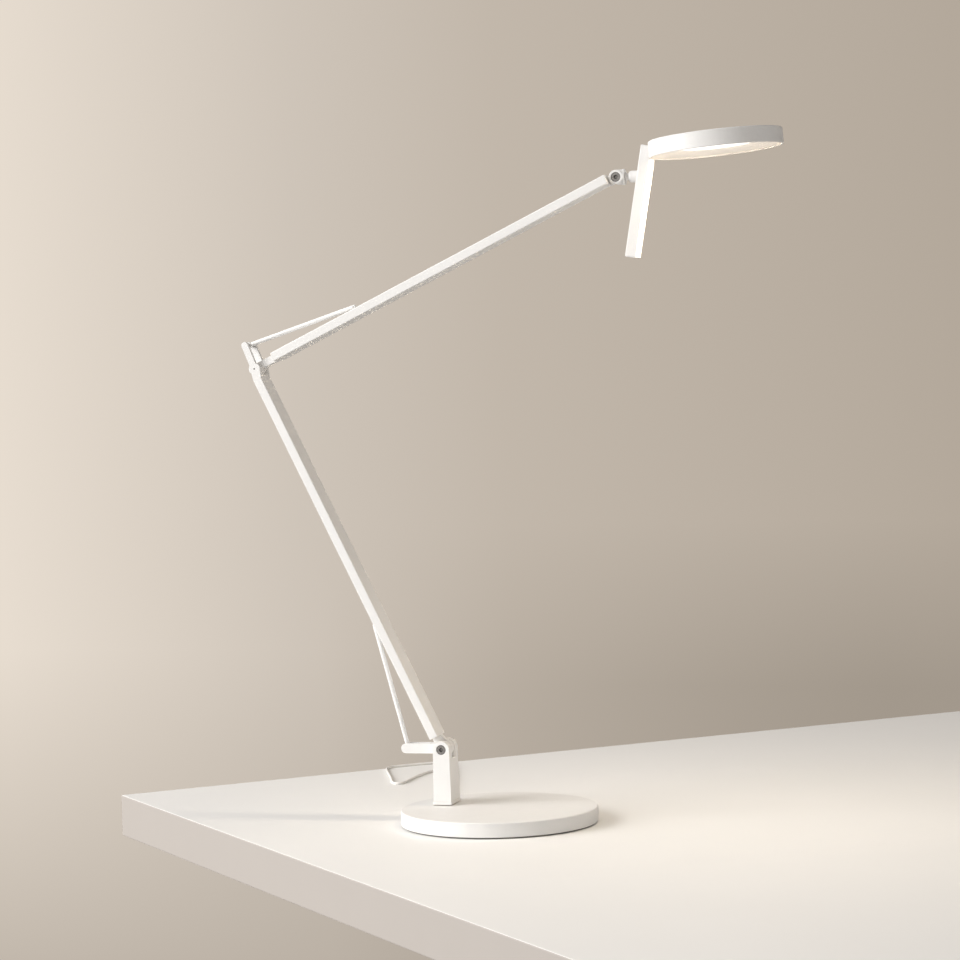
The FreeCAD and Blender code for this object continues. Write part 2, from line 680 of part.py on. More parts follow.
def flange(piece, start):
    """An arm's end flange with its corners rounded like the tube."""
    piece.add("XY", arm_section(), start, start + size("flange_height"))
    low = float(start)
    high = low + float(size("flange_height"))

    def corner(edge):
        box = edge.BoundBox
        inside = box.ZMin > low - 1e-3 and box.ZMax < high + 1e-3
        return runs_along(edge, "z") and inside and abs(abs(box.YMin) - float(ARM_BACK)) < 1e-3

    piece.soften("Fillet", size("arm_corner"), corner)


def make_lower_arm():
    length = size("lower_length")
    shoulder = size("foot_shoulder")
    flange_height = size("flange_height")
    half_eye = size("foot_eye_width") / 2
    eye = size("foot_eye")

    foot = Piece("lower_arm_foot", LOWER_FRAME)
    flange(foot, shoulder)
    foot.add("XY", plug_section(), shoulder + flange_height, shoulder + flange_height + size("plug_length"))
    foot.add("XZ", Disc(eye), -half_eye, half_eye)
    foot.add("XZ", Loop((0.3 - eye, 1.5), (eye - 0.3, 1.5), (ARM_RIGHT, shoulder + 0.5), (ARM_LEFT, shoulder + 0.5)),
             -half_eye, half_eye)
    foot.cut("XZ", Disc(size("screw_shank") / 2 + size("running_gap")), -half_eye, half_eye)

    flange_top = length - size("elbow_drop")
    flange_bottom = flange_top - flange_height
    make_tube("lower_arm_tube", LOWER_FRAME, shoulder + flange_height, flange_bottom, LOWER_SEAT)

    inner = ARM_BACK - size("cheek_thickness")
    head = Piece("lower_arm_head", LOWER_FRAME)
    flange(head, flange_bottom)
    head.add("XY", plug_section(), flange_bottom - size("plug_length"), flange_bottom)
    head.add("XY", oblong(ARM_LEFT, ARM_RIGHT, -inner, inner), flange_top, flange_top + size("elbow_block"))

    make_cheek("elbow_cheek_front", -1, flange_top)
    make_cheek("elbow_cheek_back", 1, flange_top)

    reach = inner + size("axle_seat")
    axle = Piece("elbow_axle", along(LOWER_FRAME, float(length)))
    axle.add("XZ", Disc(size("axle_diameter") / 2), -reach, reach)
    stub = ARM_BACK - size("screw_recess")
    axle.add("XZ", Disc(size("axle_tip") / 2), -stub, stub)

    inside = inner - size("disc_washer") - size("running_gap")
    for name, start, end in (
            ("elbow_washer_front", size("running_gap") - inner, -inside),
            ("elbow_washer_back", inside, inner - size("running_gap"))):
        washer = Piece(name, along(LOWER_FRAME, float(length)))
        washer.add("XZ", Disc(size("cheek_eye") - 0.6), start, end)
        washer.cut("XZ", Disc(size("axle_diameter") / 2), start, end)

    make_cartridge("lower", LOWER_FRAME, LOWER_SEAT)


def make_cheek(name, side, flange_top):
    """One side plate of the elbow with its ear for the upper pull rod."""
    length = size("lower_length")
    inner = ARM_BACK - size("cheek_thickness")
    eye = size("cheek_eye")
    centre = (0.0, length)
    start, end = (inner, ARM_BACK) if side > 0 else (-ARM_BACK, -inner)
    cheek = Piece(name, LOWER_FRAME)
    cheek.add("XZ", Loop((ARM_LEFT, flange_top), (ARM_RIGHT, flange_top), (eye - 0.9, length - 3.0),
                         (0.9 - eye, length - 3.0)), start, end)
    cheek.add("XZ", Disc(eye, centre), start, end)
    cheek.add("XZ", Hull(centre, size("ear_radius"), (EAR_X, length + EAR_Z), size("ear_radius")), start, end)
    seat = size("axle_seat")
    bore = (inner, inner + seat) if side > 0 else (-inner - seat, -inner)
    cheek.cut("XZ", Disc(size("axle_diameter") / 2, centre), *bore)
    cheek.cut("XZ", Disc(size("axle_tip") / 2, centre), start, end)


def make_cartridge(name, frame, seat):
    """The closed spring cartridge that the carriage's draw rod slides into."""
    centre = (-size("arm_offset"), 0.0)
    start = seat + size("cartridge_start")
    end = start + size("cartridge_length")
    cartridge = Piece(name + "_spring_cartridge", frame)
    cartridge.add("XY", Disc(size("cartridge_diameter") / 2, centre), start, end)
    cartridge.add("XY", plug_section(), end, end + size("cartridge_block"))
    cartridge.cut("XY", Disc(size("draw_rod") / 2 + 2 * size("running_gap"), centre), start,
                  start + size("cartridge_bore"))


def make_carriage(name, frame, seat):
    """A carriage inside the arm with the lug that the pull rod is pinned to."""
    gap = size("slide_gap")
    half_length = size("carriage_length") / 2
    half_width = size("carriage_width") / 2
    half_lug = size("lug_thickness") / 2
    root = size("lug_half_length")
    eye = size("lug_eye")
    here = along(frame, seat)
    carriage = Piece(name + "_carriage", here)
    carriage.add("XY", oblong(BORE_LEFT + gap, BORE_RIGHT - gap, -half_width, half_width), -half_length, half_length)
    carriage.add("XZ", Loop((BORE_LEFT + gap + 1.0, -root), (BORE_LEFT + gap + 1.0, root),
                            (PIN_OFFSET, eye), (PIN_OFFSET, -eye)), -half_lug, half_lug)
    carriage.add("XZ", Disc(eye, (PIN_OFFSET, 0.0)), -half_lug, half_lug)
    carriage.cut("XZ", Disc(size("rod_pin") / 2 + size("running_gap"), (PIN_OFFSET, 0.0)), -half_lug, half_lug)
    rod = Piece(name + "_draw_rod", here)
    rod.add("XY", Disc(size("draw_rod") / 2, (-size("arm_offset"), 0.0)), half_length, size("draw_reach"))


def make_rod(name, frame, length, far_pin, far_name, far_half):
    """A pull rod: a fork on the carriage's lug and an eye with a cross pin at its far end."""
    radius = size("rod_diameter") / 2
    end = size("rod_end")
    eye = size("rod_eye")
    half_slot = size("lug_thickness") / 2 + size("face_gap")
    rod = Piece(name + "_rod", frame)
    rod.add("XY", Disc(radius), -end, length)
    rod.soften("Fillet", radius - 0.7, lambda edge: abs(edge.BoundBox.ZMax + float(end)) < 1e-4)
    cheek = radius + 0.1
    rod.add("XZ", Disc(eye, (0.0, length)), -cheek, cheek)
    rod.cut("YZ", oblong(-half_slot, half_slot, -end - 1.0, size("rod_fork_depth")), -radius, radius)
    rod.cut("XZ", Disc(size("rod_pin") / 2), -radius, radius)
    rod.cut("XZ", Disc(far_pin / 2, (0.0, length)), -cheek, cheek)
    pin = Piece(name + "_rod_pin", frame)
    pin.add("XZ", Disc(size("rod_pin") / 2), 0.2 - radius, radius - 0.2)
    cross = Piece(far_name, along(frame, float(length)))
    cross.add("XZ", Disc(far_pin / 2), -far_half, far_half)


def make_upper_arm():
    length = size("upper_length")
    shoulder = size("neck_length")
    flange_height = size("flange_height")
    inner = ARM_BACK - size("cheek_thickness")
    barrel = inner - size("disc_washer") - 2 * size("running_gap")
    half_neck = size("neck_width") / 2

    neck = Piece("upper_arm_neck", UPPER_FRAME)
    flange(neck, shoulder)
    neck.add("XY", plug_section(), shoulder + flange_height, shoulder + flange_height + size("plug_length"))
    neck.add("XZ", oblong(-size("neck_top"), size("neck_bottom"), 0.0, shoulder + 0.5), -half_neck, half_neck)
    neck.add("XZ", Disc(size("neck_eye")), -barrel, barrel)
    neck.cut("XZ", Disc(size("axle_diameter") / 2 + size("running_gap")), -barrel, barrel)

    flange_top = length - size("tip_drop")
    flange_bottom = flange_top - flange_height
    make_tube("upper_arm_tube", UPPER_FRAME, shoulder + flange_height, flange_bottom, UPPER_SEAT)

    half_tip = size("tip_width") / 2
    tip = Piece("upper_arm_tip", UPPER_FRAME)
    flange(tip, flange_bottom)
    tip.add("XY", plug_section(), flange_bottom - size("plug_length"), flange_bottom)
    tip.add("XZ", oblong(0.4 - size("tip_eye"), size("tip_eye") - 0.4, flange_top - 0.5, length - 1.0),
            -half_tip, half_tip)
    tip.add("XZ", Disc(size("tip_eye"), (0.0, length)), -half_tip, half_tip)
    tip.cut("XZ", Disc(size("head_shank") / 2 + size("running_gap"), (0.0, length)), -half_tip, half_tip)

    make_cartridge("upper", UPPER_FRAME, UPPER_SEAT)


# Head -------------------------------------------------------------------------------

def make_knuckle():
    half_width = size("knuckle_width") / 2
    reach = size("knuckle_reach")
    slot_end = reach - size("knuckle_web")
    half_slot = size("tip_width") / 2 + size("face_gap")
    shank = size("head_shank") / 2
    spindle = size("spindle_diameter") / 2
    high = size("knuckle_body") + 1.0

    knuckle = Piece("head_knuckle", KNUCKLE_FRAME)
    knuckle.add("XZ", Disc(size("knuckle_radius")), -half_width, half_width)
    knuckle.add("YZ", Disc(size("knuckle_body")), 0.0, reach)
    knuckle.soften("Chamfer", size("screw_recess"), lambda edge: abs(edge.BoundBox.XMin - float(reach)) < 1e-4)
    knuckle.cut("XZ", oblong(-high, slot_end, -high, high), -half_slot, half_slot)
    knuckle.cut("XZ", Disc(shank), -half_width, half_width)
    counterbore = size("head_head") / 2 + size("face_gap")
    sunk = size("head_head_height") + size("screw_recess")
    knuckle.cut("XZ", Disc(counterbore), -half_width, sunk - half_width)
    knuckle.cut("XZ", Disc(counterbore), half_width - sunk, half_width)
    knuckle.cut("YZ", Disc(spindle), slot_end, reach)
    make_pivot_screw("head_pivot", KNUCKLE_FRAME, half_width - size("screw_recess"), size("head_head"),
                     size("head_head_height"), size("head_shank"))

    lean = size("stem_lean")
    cavity = size("neck_reach") + size("stem_wall") / cosine(lean)
    nut_start = cavity + size("spindle_head") / 2 * sine(lean) / cosine(lean) + size("clear_gap")
    nut_end = nut_start + size("spindle_nut")
    stalk = Piece("neck_spindle", KNUCKLE_FRAME)
    stalk.add("YZ", Disc(spindle), slot_end, nut_end)
    nut = Piece("spindle_nut", KNUCKLE_FRAME)
    nut.add("YZ", Disc(size("spindle_head") / 2), nut_start, nut_end)
    nut.cut("YZ", Disc(spindle), nut_start, nut_end)


def make_head():
    make_collar()
    make_stem()
    make_disc()


def make_collar():
    """The domed neck collar, cut off along the handle's face."""
    start = size("knuckle_reach") + size("clear_gap")
    shoulder = size("collar_shoulder")
    reach = size("neck_reach")
    throat = size("collar_throat")
    radius = size("collar_radius")
    bore = size("spindle_diameter") / 2 + size("running_gap")
    end = reach + 2.0
    collar = Piece("neck_collar", KNUCKLE_FRAME)
    collar.turn(Loop((start, bore), (end, bore), (end, radius), (shoulder + 2.4, radius),
                     (shoulder + 0.9, radius - 0.7), (shoulder, radius - 1.9), (shoulder, throat), (start, throat)),
                "H_Axis")
    lean = size("stem_lean")
    slope = sine(lean) / cosine(lean)
    far = radius + 1.0
    collar.cut("XZ", Loop((reach - far * slope, -far), (reach + 8.0, -far), (reach + 8.0, far),
                          (reach + far * slope, far)), -far, far)


def make_stem():
    """The handle bar: a rectangular tube with an end cap at each end."""
    thickness = size("stem_thickness")
    half = size("stem_depth") / 2
    wall = size("stem_wall")
    cap = size("stem_cap")
    up = size("stem_up")
    down = size("stem_down")
    stem = Piece("head_stem", STEM_FRAME)
    stem.add("XY", oblong(0.0, thickness, -half, half), cap - down, up - cap)
    stem.soften("Fillet", size("arm_corner"), lambda edge: runs_along(edge, "z"))
    stem.cut("XY", oblong(wall, thickness - wall, wall - half, half - wall), cap - down, up - cap)
    stem.cut("YZ", Disc(size("stem_bore") / 2), -0.5, wall + 0.5)
    for name, outer, inner in (("stem_cap_top", up, up - cap), ("stem_cap_bottom", -down, cap - down)):
        low, high = (inner, outer) if name == "stem_cap_top" else (outer, inner)
        plug = (inner - 6.0, inner) if name == "stem_cap_top" else (inner, inner + 6.0)
        piece = Piece(name, STEM_FRAME)
        piece.add("XY", oblong(0.0, thickness, -half, half), low, high)
        piece.soften("Fillet", size("arm_corner"), lambda edge: runs_along(edge, "z"))
        level = float(outer)
        piece.soften("Fillet", cap / 2, lambda edge: abs(edge.BoundBox.ZMin - level) < 1e-4
                     and abs(edge.BoundBox.ZMax - level) < 1e-4)
        gap = size("fit_gap")
        piece.add("XY", oblong(wall + gap, thickness - wall - gap, wall + gap - half, half - wall - gap), *plug)


def make_disc():
    """The disc head: housing, reflector, diffuser, light board and heat spreader."""
    radius = size("head_diameter") / 2
    top = size("head_thickness")
    bevel = size("head_bevel")
    wall = size("head_wall")
    inner = radius - wall
    step = inner - size("seat_step")
    seat = size("seat_height")
    ceiling = top - size("head_top")

    housing = Piece("head_housing", DISC_FRAME)
    housing.turn(Loop((0.0, ceiling), (step, ceiling), (step, seat), (inner, seat), (inner, 0.0),
                      (radius - bevel / 2, 0.0), (radius, bevel / 2), (radius, top - bevel),
                      (radius - bevel, top), (0.0, top)))
    half = size("stem_depth") / 2
    housing.cut("XZ", stem_outline(), -half, half)

    light = size("diffuser_diameter") / 2
    gap = size("slide_gap")
    rise = size("diffuser_rise")
    thick = size("diffuser_thickness")
    outer = inner - gap
    reflector = Piece("reflector", DISC_FRAME)
    drop = size("reflector_drop")
    reflector.turn(Loop((light + gap, rise), (outer, drop), (outer, seat), (step - gap, seat),
                        (light + 4.0, rise + thick + 1.2),
                        (light - 1.2, rise + thick + 1.2), (light - 1.2, rise + thick), (light + gap, rise + thick)))

    diffuser = Piece("diffuser", DISC_FRAME)
    diffuser.add("XY", Disc(light), rise, rise + thick)

    sink_bottom = ceiling - size("sink_thickness")
    spreader = Piece("heat_spreader", DISC_FRAME)
    spreader.add("XY", Disc(size("sink_diameter") / 2), sink_bottom, ceiling)
    board = Piece("light_board", DISC_FRAME)
    board.add("XY", Disc(size("board_diameter") / 2), sink_bottom - size("board_thickness"), sink_bottom)


def stem_outline():
    """The handle bar's outline in the disc's frame, reaching past the disc's rim."""
    to_disc = DISC_FRAME.inverse().multiply(STEM_FRAME)
    corners = []
    for x, z in ((-20.0, -20.0), (float(size("stem_thickness")), -20.0),
                 (float(size("stem_thickness")), float(size("stem_up"))), (-20.0, float(size("stem_up")))):
        place = to_disc.multVec(Vector(x, 0, z))
        corners.append((place.x, place.z))
    return Loop(*corners)


# Cord -------------------------------------------------------------------------------

def cord_route():
    """The free cord's points: out of the rim, along the table and back behind the base."""
    low = float(size("cord_diameter")) / 2
    height = float(size("gland_height"))
    points = []
    for distance in (0.0, 14.0):
        x, y = gland_point(float(size("gland_length")) + distance)
        points.append(Vector(x, y, height))
    flat = (
        (-96.5, 121.5), (-102.0, 145.0), (-109.0, 178.0), (-122.5, 224.0), (-134.0, 272.0),
        (-149.5, 318.0), (-153.8, 346.0), (-171.5, 347.5), (-177.8, 322.0), (-179.8, 288.0),
        (-178.4, 246.0), (-191.2, 245.4), (-204.0, 284.0), (-219.5, 321.0), (-236.8, 366.0),
        (-219.0, 382.4), (-187.7, 410.8), (-168.8, 405.2), (-153.5, 370.0), (-141.0, 326.0),
        (-126.5, 278.0), (-113.5, 229.0), (-101.0, 184.0), (-88.5, 160.0), (-68.0, 150.6),
    )
    points += [Vector(px, py, low) for px, py in flat]
    return points + [coil_start() - Vector(20.0, 0, 0), coil_start()]


def coil_start():
    """Where the free cord meets the coil's straight end."""
    return Vector(float(size("coil_x")) - float(size("cord_diameter")),
                  float(size("coil_y")) + float(size("coil_radius")), float(size("cord_diameter")) / 2)


def rounded_path(points):
    """Straight runs joined by tangent arcs as large as the runs allow."""
    edges = []
    length = 0.0
    radii = []
    here = points[0]
    for before, corner, after in zip(points, points[1:], points[2:]):
        back = (before - corner).normalize()
        forth = (after - corner).normalize()
        turn = math.pi - math.acos(max(-1.0, min(1.0, back.dot(forth))))
        trim = 0.45 * min((before - corner).Length, (after - corner).Length)
        radius = trim / math.tan(turn / 2)
        start = corner + back * trim
        end = corner + forth * trim
        middle = corner + (back + forth).normalize() * (radius / math.cos(turn / 2) - radius)
        edges.append(Part.LineSegment(here, start).toShape())
        edges.append(Part.Arc(start, middle, end).toShape())
        length += (start - here).Length + radius * turn
        radii.append(radius)
        here = end
    edges.append(Part.LineSegment(here, points[-1]).toShape())
    length += (points[-1] - here).Length
    return Part.Wire(edges), length, radii


def coil_points():
    """Quarter-turn points and tangents of the coil: inwards below, up, and outwards above."""
    turns = int(float(size("coil_turns")))
    pitch = float(size("coil_pitch"))
    outer = float(size("coil_radius"))
    low = float(size("cord_diameter")) / 2
    centre = Vector(float(size("coil_x")), float(size("coil_y")), 0)

    def place(quarter):
        turn = quarter / 4.0
        share = max(0.0, min(1.0, (turn - turns) / 0.5))
        height = low + pitch * share * share * (3 - 2 * share)
        radius = outer - pitch * min(turn, 2 * turns + 0.5 - turn)
        angle = math.pi / 2 - 2 * math.pi * turn
        return centre + Vector(radius * math.cos(angle), radius * math.sin(angle), height)

    step = 1e-4
    last = 8 * turns + 2
    points = []
    for quarter in range(last + 1):
        ahead = place(min(quarter + step, last))
        behind = place(max(quarter - step, 0))
        points.append((place(quarter), (ahead - behind).normalize()))
    return points


def biarc(start, start_way, end, end_way):
    """Two tangent arcs from one point and direction to another."""
    gap = end - start
    ways = start_way + end_way
    spare = 2 * (1 - start_way.dot(end_way))
    lean = gap.dot(ways)
    reach = (math.sqrt(lean * lean + spare * gap.dot(gap)) - lean) / spare
    knot = (start + start_way * reach + end - end_way * reach) * 0.5
    arcs = []
    for first, way, last in ((start, start_way, knot), (end, end_way * -1.0, knot)):
        chord = last - first
        normal = way.cross(chord)
        side = normal.cross(way).normalize()
        radius = chord.dot(chord) / (2 * chord.dot(side))
        middle = first + side * radius
        bisector = ((first - middle) + (last - middle)).normalize()
        points = (first, middle + bisector * radius, last)
        if first is end:
            points = points[::-1]
        arcs.append(Part.Arc(*points).toShape())
    return arcs


def coil_path():
    """The coil's centre line with a straight end of one cord diameter at each end."""
    points = coil_points()
    lead = float(size("cord_diameter"))
    first, first_way = points[0]
    last, last_way = points[-1]
    flat_first = Vector(first_way.x, 0, 0).normalize()
    flat_last = Vector(last_way.x, 0, 0).normalize()
    points[0] = (first, flat_first)
    points[-1] = (last, flat_last)
    edges = [Part.LineSegment(first - flat_first * lead, first).toShape()]
    for (start, way), (end, next_way) in zip(points, points[1:]):
        edges += biarc(start, way, end, next_way)
    edges.append(Part.LineSegment(last, last + flat_last * lead).toShape())
    return Part.Wire(edges), last + flat_last * lead, flat_last


def tube_along(label, wire, diameter):
    """A round tube along a wire, as a feature of the document."""
    start = wire.Edges[0].Vertexes[0].Point
    way = wire.Edges[0].tangentAt(wire.Edges[0].FirstParameter)
    ring = Part.Wire(Part.makeCircle(diameter / 2, start, way))
    feature = DOC.addObject("Part::Feature", label)
    feature.Label = label
    feature.Shape = wire.makePipeShell([ring], True, False)
    PIECES.append(feature)
    return feature


def least_gap(wire, diameter):
    """The least distance of a wound tube to itself, measured on points of its centre line."""
    spacing = 1.0
    points = wire.discretize(Distance=spacing)
    skip = int(4 * diameter / spacing)
    least = float("inf")
    for index, point in enumerate(points):
        for other in points[index + skip:]:
            least = min(least, (point - other).Length)
    return least - diameter


def make_cord():
    diameter = float(size("cord_diameter"))
    wire, length, radii = rounded_path(cord_route())
    cord = tube_along("cord", wire, diameter)
    section = math.pi * diameter ** 2 / 4
    print("cord length %.1f, radii %s" % (length, " ".join("%.1f" % radius for radius in radii)))
    print("cord volume %.2f, section times length %.2f" % (cord.Shape.Volume, section * length))
    loops, end, way = coil_path()
    coil = tube_along("cord_coil", loops, diameter)
    print("coil length %.1f, volume %.2f, section times length %.2f, least gap to itself %.2f" % (
        loops.Length, coil.Shape.Volume, section * loops.Length, least_gap(loops, diameter)))
    print("whole cord %.0f" % (length + loops.Length))
    make_connector(end, way)


def make_connector(end, way):
    """The low-voltage barrel connector on the cord's free end."""
    frame = Placement(end, Rotation(Vector(1, 0, 0), way))
    cord = size("cord_diameter") / 2
    body = size("plug_body") / 2
    relief = size("plug_relief")
    grip_end = relief + size("plug_body_length")
    barrel = size("plug_barrel") / 2
    tip = grip_end + size("plug_barrel_length")
    grip = Piece("connector_grip", frame)
    grip.turn(Loop((0.0, 0.0), (grip_end, 0.0), (grip_end, body - 0.6), (grip_end - 0.6, body),
                   (relief + 1.0, body), (relief, body - 1.0), (0.0, cord + 0.5)), "H_Axis")
    metal = Piece("connector_barrel", frame)
    metal.add("YZ", Disc(barrel), grip_end, tip)
    metal.cut("YZ", Disc(1.05), grip_end + 1.0, tip)


# Build ------------------------------------------------------------------------------

def make_linkages():
    make_carriage("lower", LOWER_FRAME, LOWER_SEAT)
    make_carriage("upper", UPPER_FRAME, UPPER_SEAT)
    make_rod("lower", rod_frame(LOWER_FRAME, LOWER_SEAT, LEVER_PIN), size("lower_rod_length"),
             size("lever_pin"), "lever_pin", size("lever_slot") / 2 - 0.2)
    inner = ARM_BACK - size("cheek_thickness")
    make_rod("upper", rod_frame(UPPER_FRAME, UPPER_SEAT, EAR_PIN), size("upper_rod_length"),
             size("ear_pin"), "ear_axle", inner - 0.3)


def check_document():
    for item in DOC.Objects:
        if "Invalid" in item.State or "Error" in item.State:
            raise RuntimeError("%s failed: %s" % (item.Name, item.State))
    wrong = []
    for piece in PIECES:
        if piece.Shape.isNull() or not piece.Shape.isValid() or len(piece.Shape.Solids) != 1:
            wrong.append(piece.Label)
    if wrong:
        raise RuntimeError("no valid single solid: " + ", ".join(wrong))


make_base()
make_gland()
make_post()
make_lower_arm()
make_upper_arm()
make_linkages()
make_knuckle()
make_head()
make_cord()
DOC.recompute()
check_document()
print("pivot %s elbow %s head pivot %s neck %s" % (PIVOT, ELBOW, HEAD_PIVOT, NECK))
print("lower seat %.3f upper seat %.3f lever pin %s ear pin %s" % (LOWER_SEAT, UPPER_SEAT, LEVER_PIN, EAR_PIN))
os.makedirs("parts", exist_ok=True)
for piece in PIECES:
    piece.Shape.exportStep("parts/%s.step" % piece.Label)
print("%d pieces" % len(PIECES))
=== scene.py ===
import math

import bpy
from bpy.props import FloatProperty, FloatVectorProperty, IntProperty, PointerProperty
from bpy.types import Operator, Panel, PropertyGroup
from mathutils import Matrix, Vector


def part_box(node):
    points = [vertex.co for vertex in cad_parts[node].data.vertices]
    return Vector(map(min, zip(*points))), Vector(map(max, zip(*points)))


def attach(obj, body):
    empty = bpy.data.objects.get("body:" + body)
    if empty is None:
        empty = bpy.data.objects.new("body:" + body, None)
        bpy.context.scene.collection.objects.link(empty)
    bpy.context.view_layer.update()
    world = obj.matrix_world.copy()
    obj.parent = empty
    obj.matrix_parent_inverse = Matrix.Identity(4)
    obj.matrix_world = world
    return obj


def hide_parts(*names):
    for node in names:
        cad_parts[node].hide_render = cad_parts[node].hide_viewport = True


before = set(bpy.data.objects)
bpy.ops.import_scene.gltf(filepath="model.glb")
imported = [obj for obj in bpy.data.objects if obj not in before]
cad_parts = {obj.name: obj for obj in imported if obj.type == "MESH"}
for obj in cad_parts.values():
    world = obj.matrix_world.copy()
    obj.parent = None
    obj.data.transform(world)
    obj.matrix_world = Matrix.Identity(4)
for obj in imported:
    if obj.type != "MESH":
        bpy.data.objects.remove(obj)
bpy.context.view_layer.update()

bl_info = {
    "name": "Pull-rod Desk Lamp",
    "version": (1, 0, 0),
    "blender": (4, 5, 0),
    "location": "View3D > Sidebar > Desk Lamp",
    "description": "Finishes, cord, light and stage of a desk lamp with pull rods",
    "category": "Object",
}

# Measures of the stage, in metres -----------------------------------------------------------

TABLE_CORNER = Vector((-0.474, 0.146, 0.0))
TABLE_ALONG = Vector((0.6696, -0.7427, 0.0))
TABLE_ACROSS = Vector((0.7327, 0.6805, 0.0))
TABLE_REACH = 3.2
TABLE_EDGE_RADIUS = 0.0012

WALL_DISTANCE = 5.0
WALL_SIDES = (-7.0, 8.0)
WALL_HEIGHTS = (-4.0, 6.0)
# Painted light on the wall fades from bright on the left to dim on the right; painted shade darkens
# its foot and its lower right corner.
WALL_BRIGHT_X, WALL_DIM_X = -2.87, -0.09
WALL_LEFT_SHARE, WALL_MIDDLE_SHARE = 0.33, 0.55
FOOT_LOW_Z, FOOT_HIGH_Z = -1.55, -0.35
CORNER_LEFT_X, CORNER_RIGHT_X = -1.9, -0.3
CORNER_HIGH_Z, CORNER_LOW_Z = 0.0, -0.45

LIGHT_TARGET = (0.0, 0.0, 0.3)
KEY_PLACE, KEY_SIZE, KEY_TINT = (-2.85, -1.6, 1.6), 2.4, (1.0, 0.988, 0.97)
FILL_PLACE, FILL_SIZE, FILL_TINT = (0.9, -3.2, 1.5), 1.8, (1.0, 0.97, 0.93)
ROOM_TINT = (1.0, 0.94, 0.89)
ROOM_BACKDROP = (0.66, 0.59, 0.51)

CAMERA_PLACE = (0.78704, -2.83757, 0.47510)
CAMERA_RIGHT = (0.96262875, 0.26927066, -0.02896913)
CAMERA_UP = (0.01628763, 0.04921163, 0.99865556)
CAMERA_LENS = 109.61
CAMERA_SENSOR = 36.0

# Measures of the head's light: the diffuser's and reflector's reach from its middle ------------

DIFFUSER_REACH = 0.041
# Span over which the reflector's painted glow dims outwards.
CREEP_START, CREEP_END = 0.034, 0.064
BEAM_SIZE = 0.062
BEAM_DROP = 0.0045
HEAD_LEAN = math.radians(-4.5)

# Edge radii of small pieces, and the powder coat darker on the base as painted shade and lighter on
# the arms as painted light ------------

FINE_EDGE = 0.0002
MOULDED_EDGE = 0.0003
BASE_PAINTED_SHADE = 0.93
ARM_PAINTED_LIGHT = 1.03

# Pieces by finish ----------------------------------------------------------------------

PAINTED_ARMS = (
    "post", "post_foot", "lever",
    "lower_arm_foot", "lower_arm_tube", "lower_arm_head", "elbow_cheek_front", "elbow_cheek_back",
    "upper_arm_neck", "upper_arm_tube", "upper_arm_tip", "lower_rod", "upper_rod",
)
PAINTED_HEAD = (
    "head_knuckle", "neck_collar", "head_stem", "stem_cap_bottom", "stem_cap_top", "head_housing",
)
DARK_HARDWARE = (
    "lower_pivot_screw", "lower_pivot_nut", "head_pivot_screw", "head_pivot_nut", "elbow_axle",
    "lower_rod_pin", "upper_rod_pin", "lever_pin", "ear_axle",
)
BRIGHT_HARDWARE = (
    "swivel_stud", "swivel_washer", "swivel_nut", "neck_spindle", "spindle_nut",
    "lower_spring_cartridge", "upper_spring_cartridge", "lower_draw_rod", "upper_draw_rod",
)
SLIDERS = ("lower_carriage", "upper_carriage")
FRICTION_DISCS = ("elbow_washer_front", "elbow_washer_back")


# Node helpers ----------------------------------------------------------------------------

